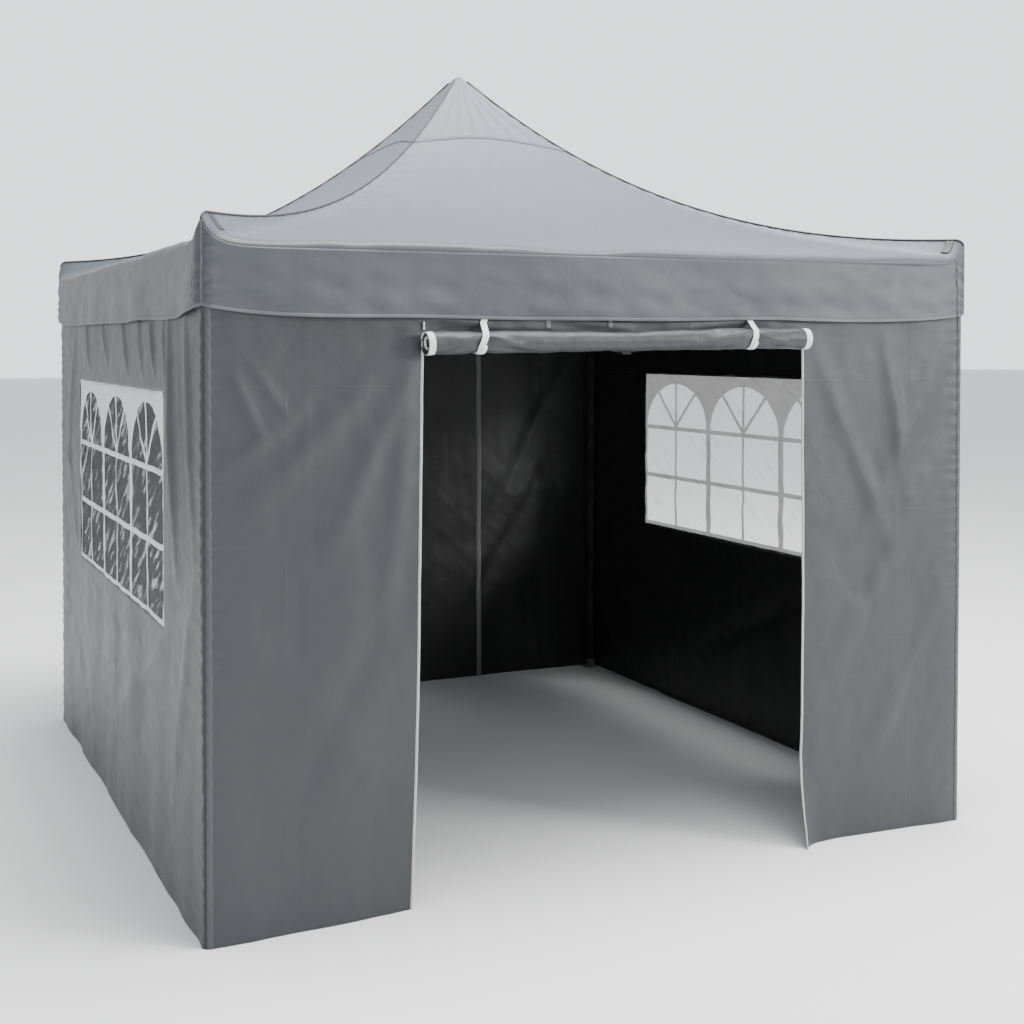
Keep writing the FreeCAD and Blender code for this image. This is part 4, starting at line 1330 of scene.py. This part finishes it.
def finish_leg(node, fitting, is_fitting):
    """Powder coat on a leg's tube, another finish on its bracket, collar or foot, and zinc on its bolts."""
    mesh = node.data
    mesh.materials.clear()
    for material in (POWDER_COAT, fitting, ZINC):
        mesh.materials.append(material)
    owner, sizes = islands(mesh)
    index = [1 if is_fitting(sizes[o]) else 2 * int(max(sizes[o]) < SMALL) for o in owner]
    mesh.polygons.foreach_set("material_index", np.array(index, dtype=np.int32))


for name, node in frame["nodes"].items():
    if name.startswith(("truss_bar", "centre_strut")) or name == "mast":
        finish_node(node, POWDER_COAT, ZINC)
    elif name.startswith(("mid_joint", "slider_f", "slider_b", "centre_hub", "mast_cap")):
        finish_node(node, NYLON, ZINC)
    elif name.startswith("slider_pin"):
        finish_node(node, KNOB, KNOB)
    elif name.startswith("outer_leg"):
        finish_leg(node, NYLON, lambda size: 0.045 <= max(size) < 0.2)
    elif name.startswith("inner_leg"):
        finish_leg(node, GALVANISED, lambda size: max(size) < 0.2)
print("frame finished")

# %% [markdown]
# ## Light, floor and camera
# A pale floor and soft light from above suit cloth: the roof is lit most, the front less and the left
# side least. The camera stands in front of the left corner at about head height, looking slightly down,
# with a little shift so that upright edges stay upright.

# %% Floor and light
FLOOR_SIZE = 150.0
bpy.ops.mesh.primitive_plane_add(size=FLOOR_SIZE, location=(0, 0, -0.0005))
floor = bpy.context.object
floor.name = "floor"
floor_material, floor_tree, floor_shader = new_material("pale floor")
floor_shader.inputs["Base Color"].default_value = (0.88, 0.88, 0.88, 1.0)
floor_shader.inputs["Roughness"].default_value = 0.9
floor.data.materials.append(floor_material)


def area_light(name, place, target, size, power):
    light = bpy.data.lights.new(name, "AREA")
    light.shape = "SQUARE"
    light.size = size
    light.energy = power
    lamp = bpy.data.objects.new(name, light)
    lamp.location = place
    aim = Vector(target) - Vector(place)
    lamp.rotation_euler = aim.to_track_quat("-Z", "Y").to_euler()
    bpy.context.collection.objects.link(lamp)


area_light("overhead", (1.0, -1.5, 8.5), (0, 0, 1), 5.0, 1500)
area_light("front", (7.5, -8.0, 4.5), (0, 0, 1.2), 3.0, 850)
world = bpy.data.worlds.new("studio")
bpy.context.scene.world = world
world.use_nodes = True
background = world.node_tree.nodes["Background"]
background.inputs[0].default_value = (0.95, 0.97, 1.0, 1.0)
seen = add(world.node_tree, "ShaderNodeLightPath").outputs["Is Camera Ray"]
strength = add(world.node_tree, "ShaderNodeMapRange", _0=seen, _3=1.15, _4=1.9).outputs[0]
world.node_tree.links.new(strength, background.inputs[1])

# %% Camera
CAMERA_PLACE = Vector((-2.49, -5.774, 1.851))
YAW, PITCH = math.radians(23.98), math.radians(1.315)
ahead = Vector((math.sin(YAW) * math.cos(PITCH), math.cos(YAW) * math.cos(PITCH), -math.sin(PITCH)))
right = Vector((math.cos(YAW), -math.sin(YAW), 0))
up = right.cross(ahead)
camera_data = bpy.data.cameras.new("camera")
camera_data.sensor_width = 36.0
camera_data.lens = 50.3
camera_data.shift_x = 0.0368
camera_data.shift_y = -0.1318
camera_data.clip_end = 200.0
camera = bpy.data.objects.new("camera", camera_data)
rows = Matrix((right, up, -ahead)).transposed().to_4x4()
camera.matrix_world = Matrix.Translation(CAMERA_PLACE) @ rows
bpy.context.collection.objects.link(camera)
bpy.context.scene.camera = camera
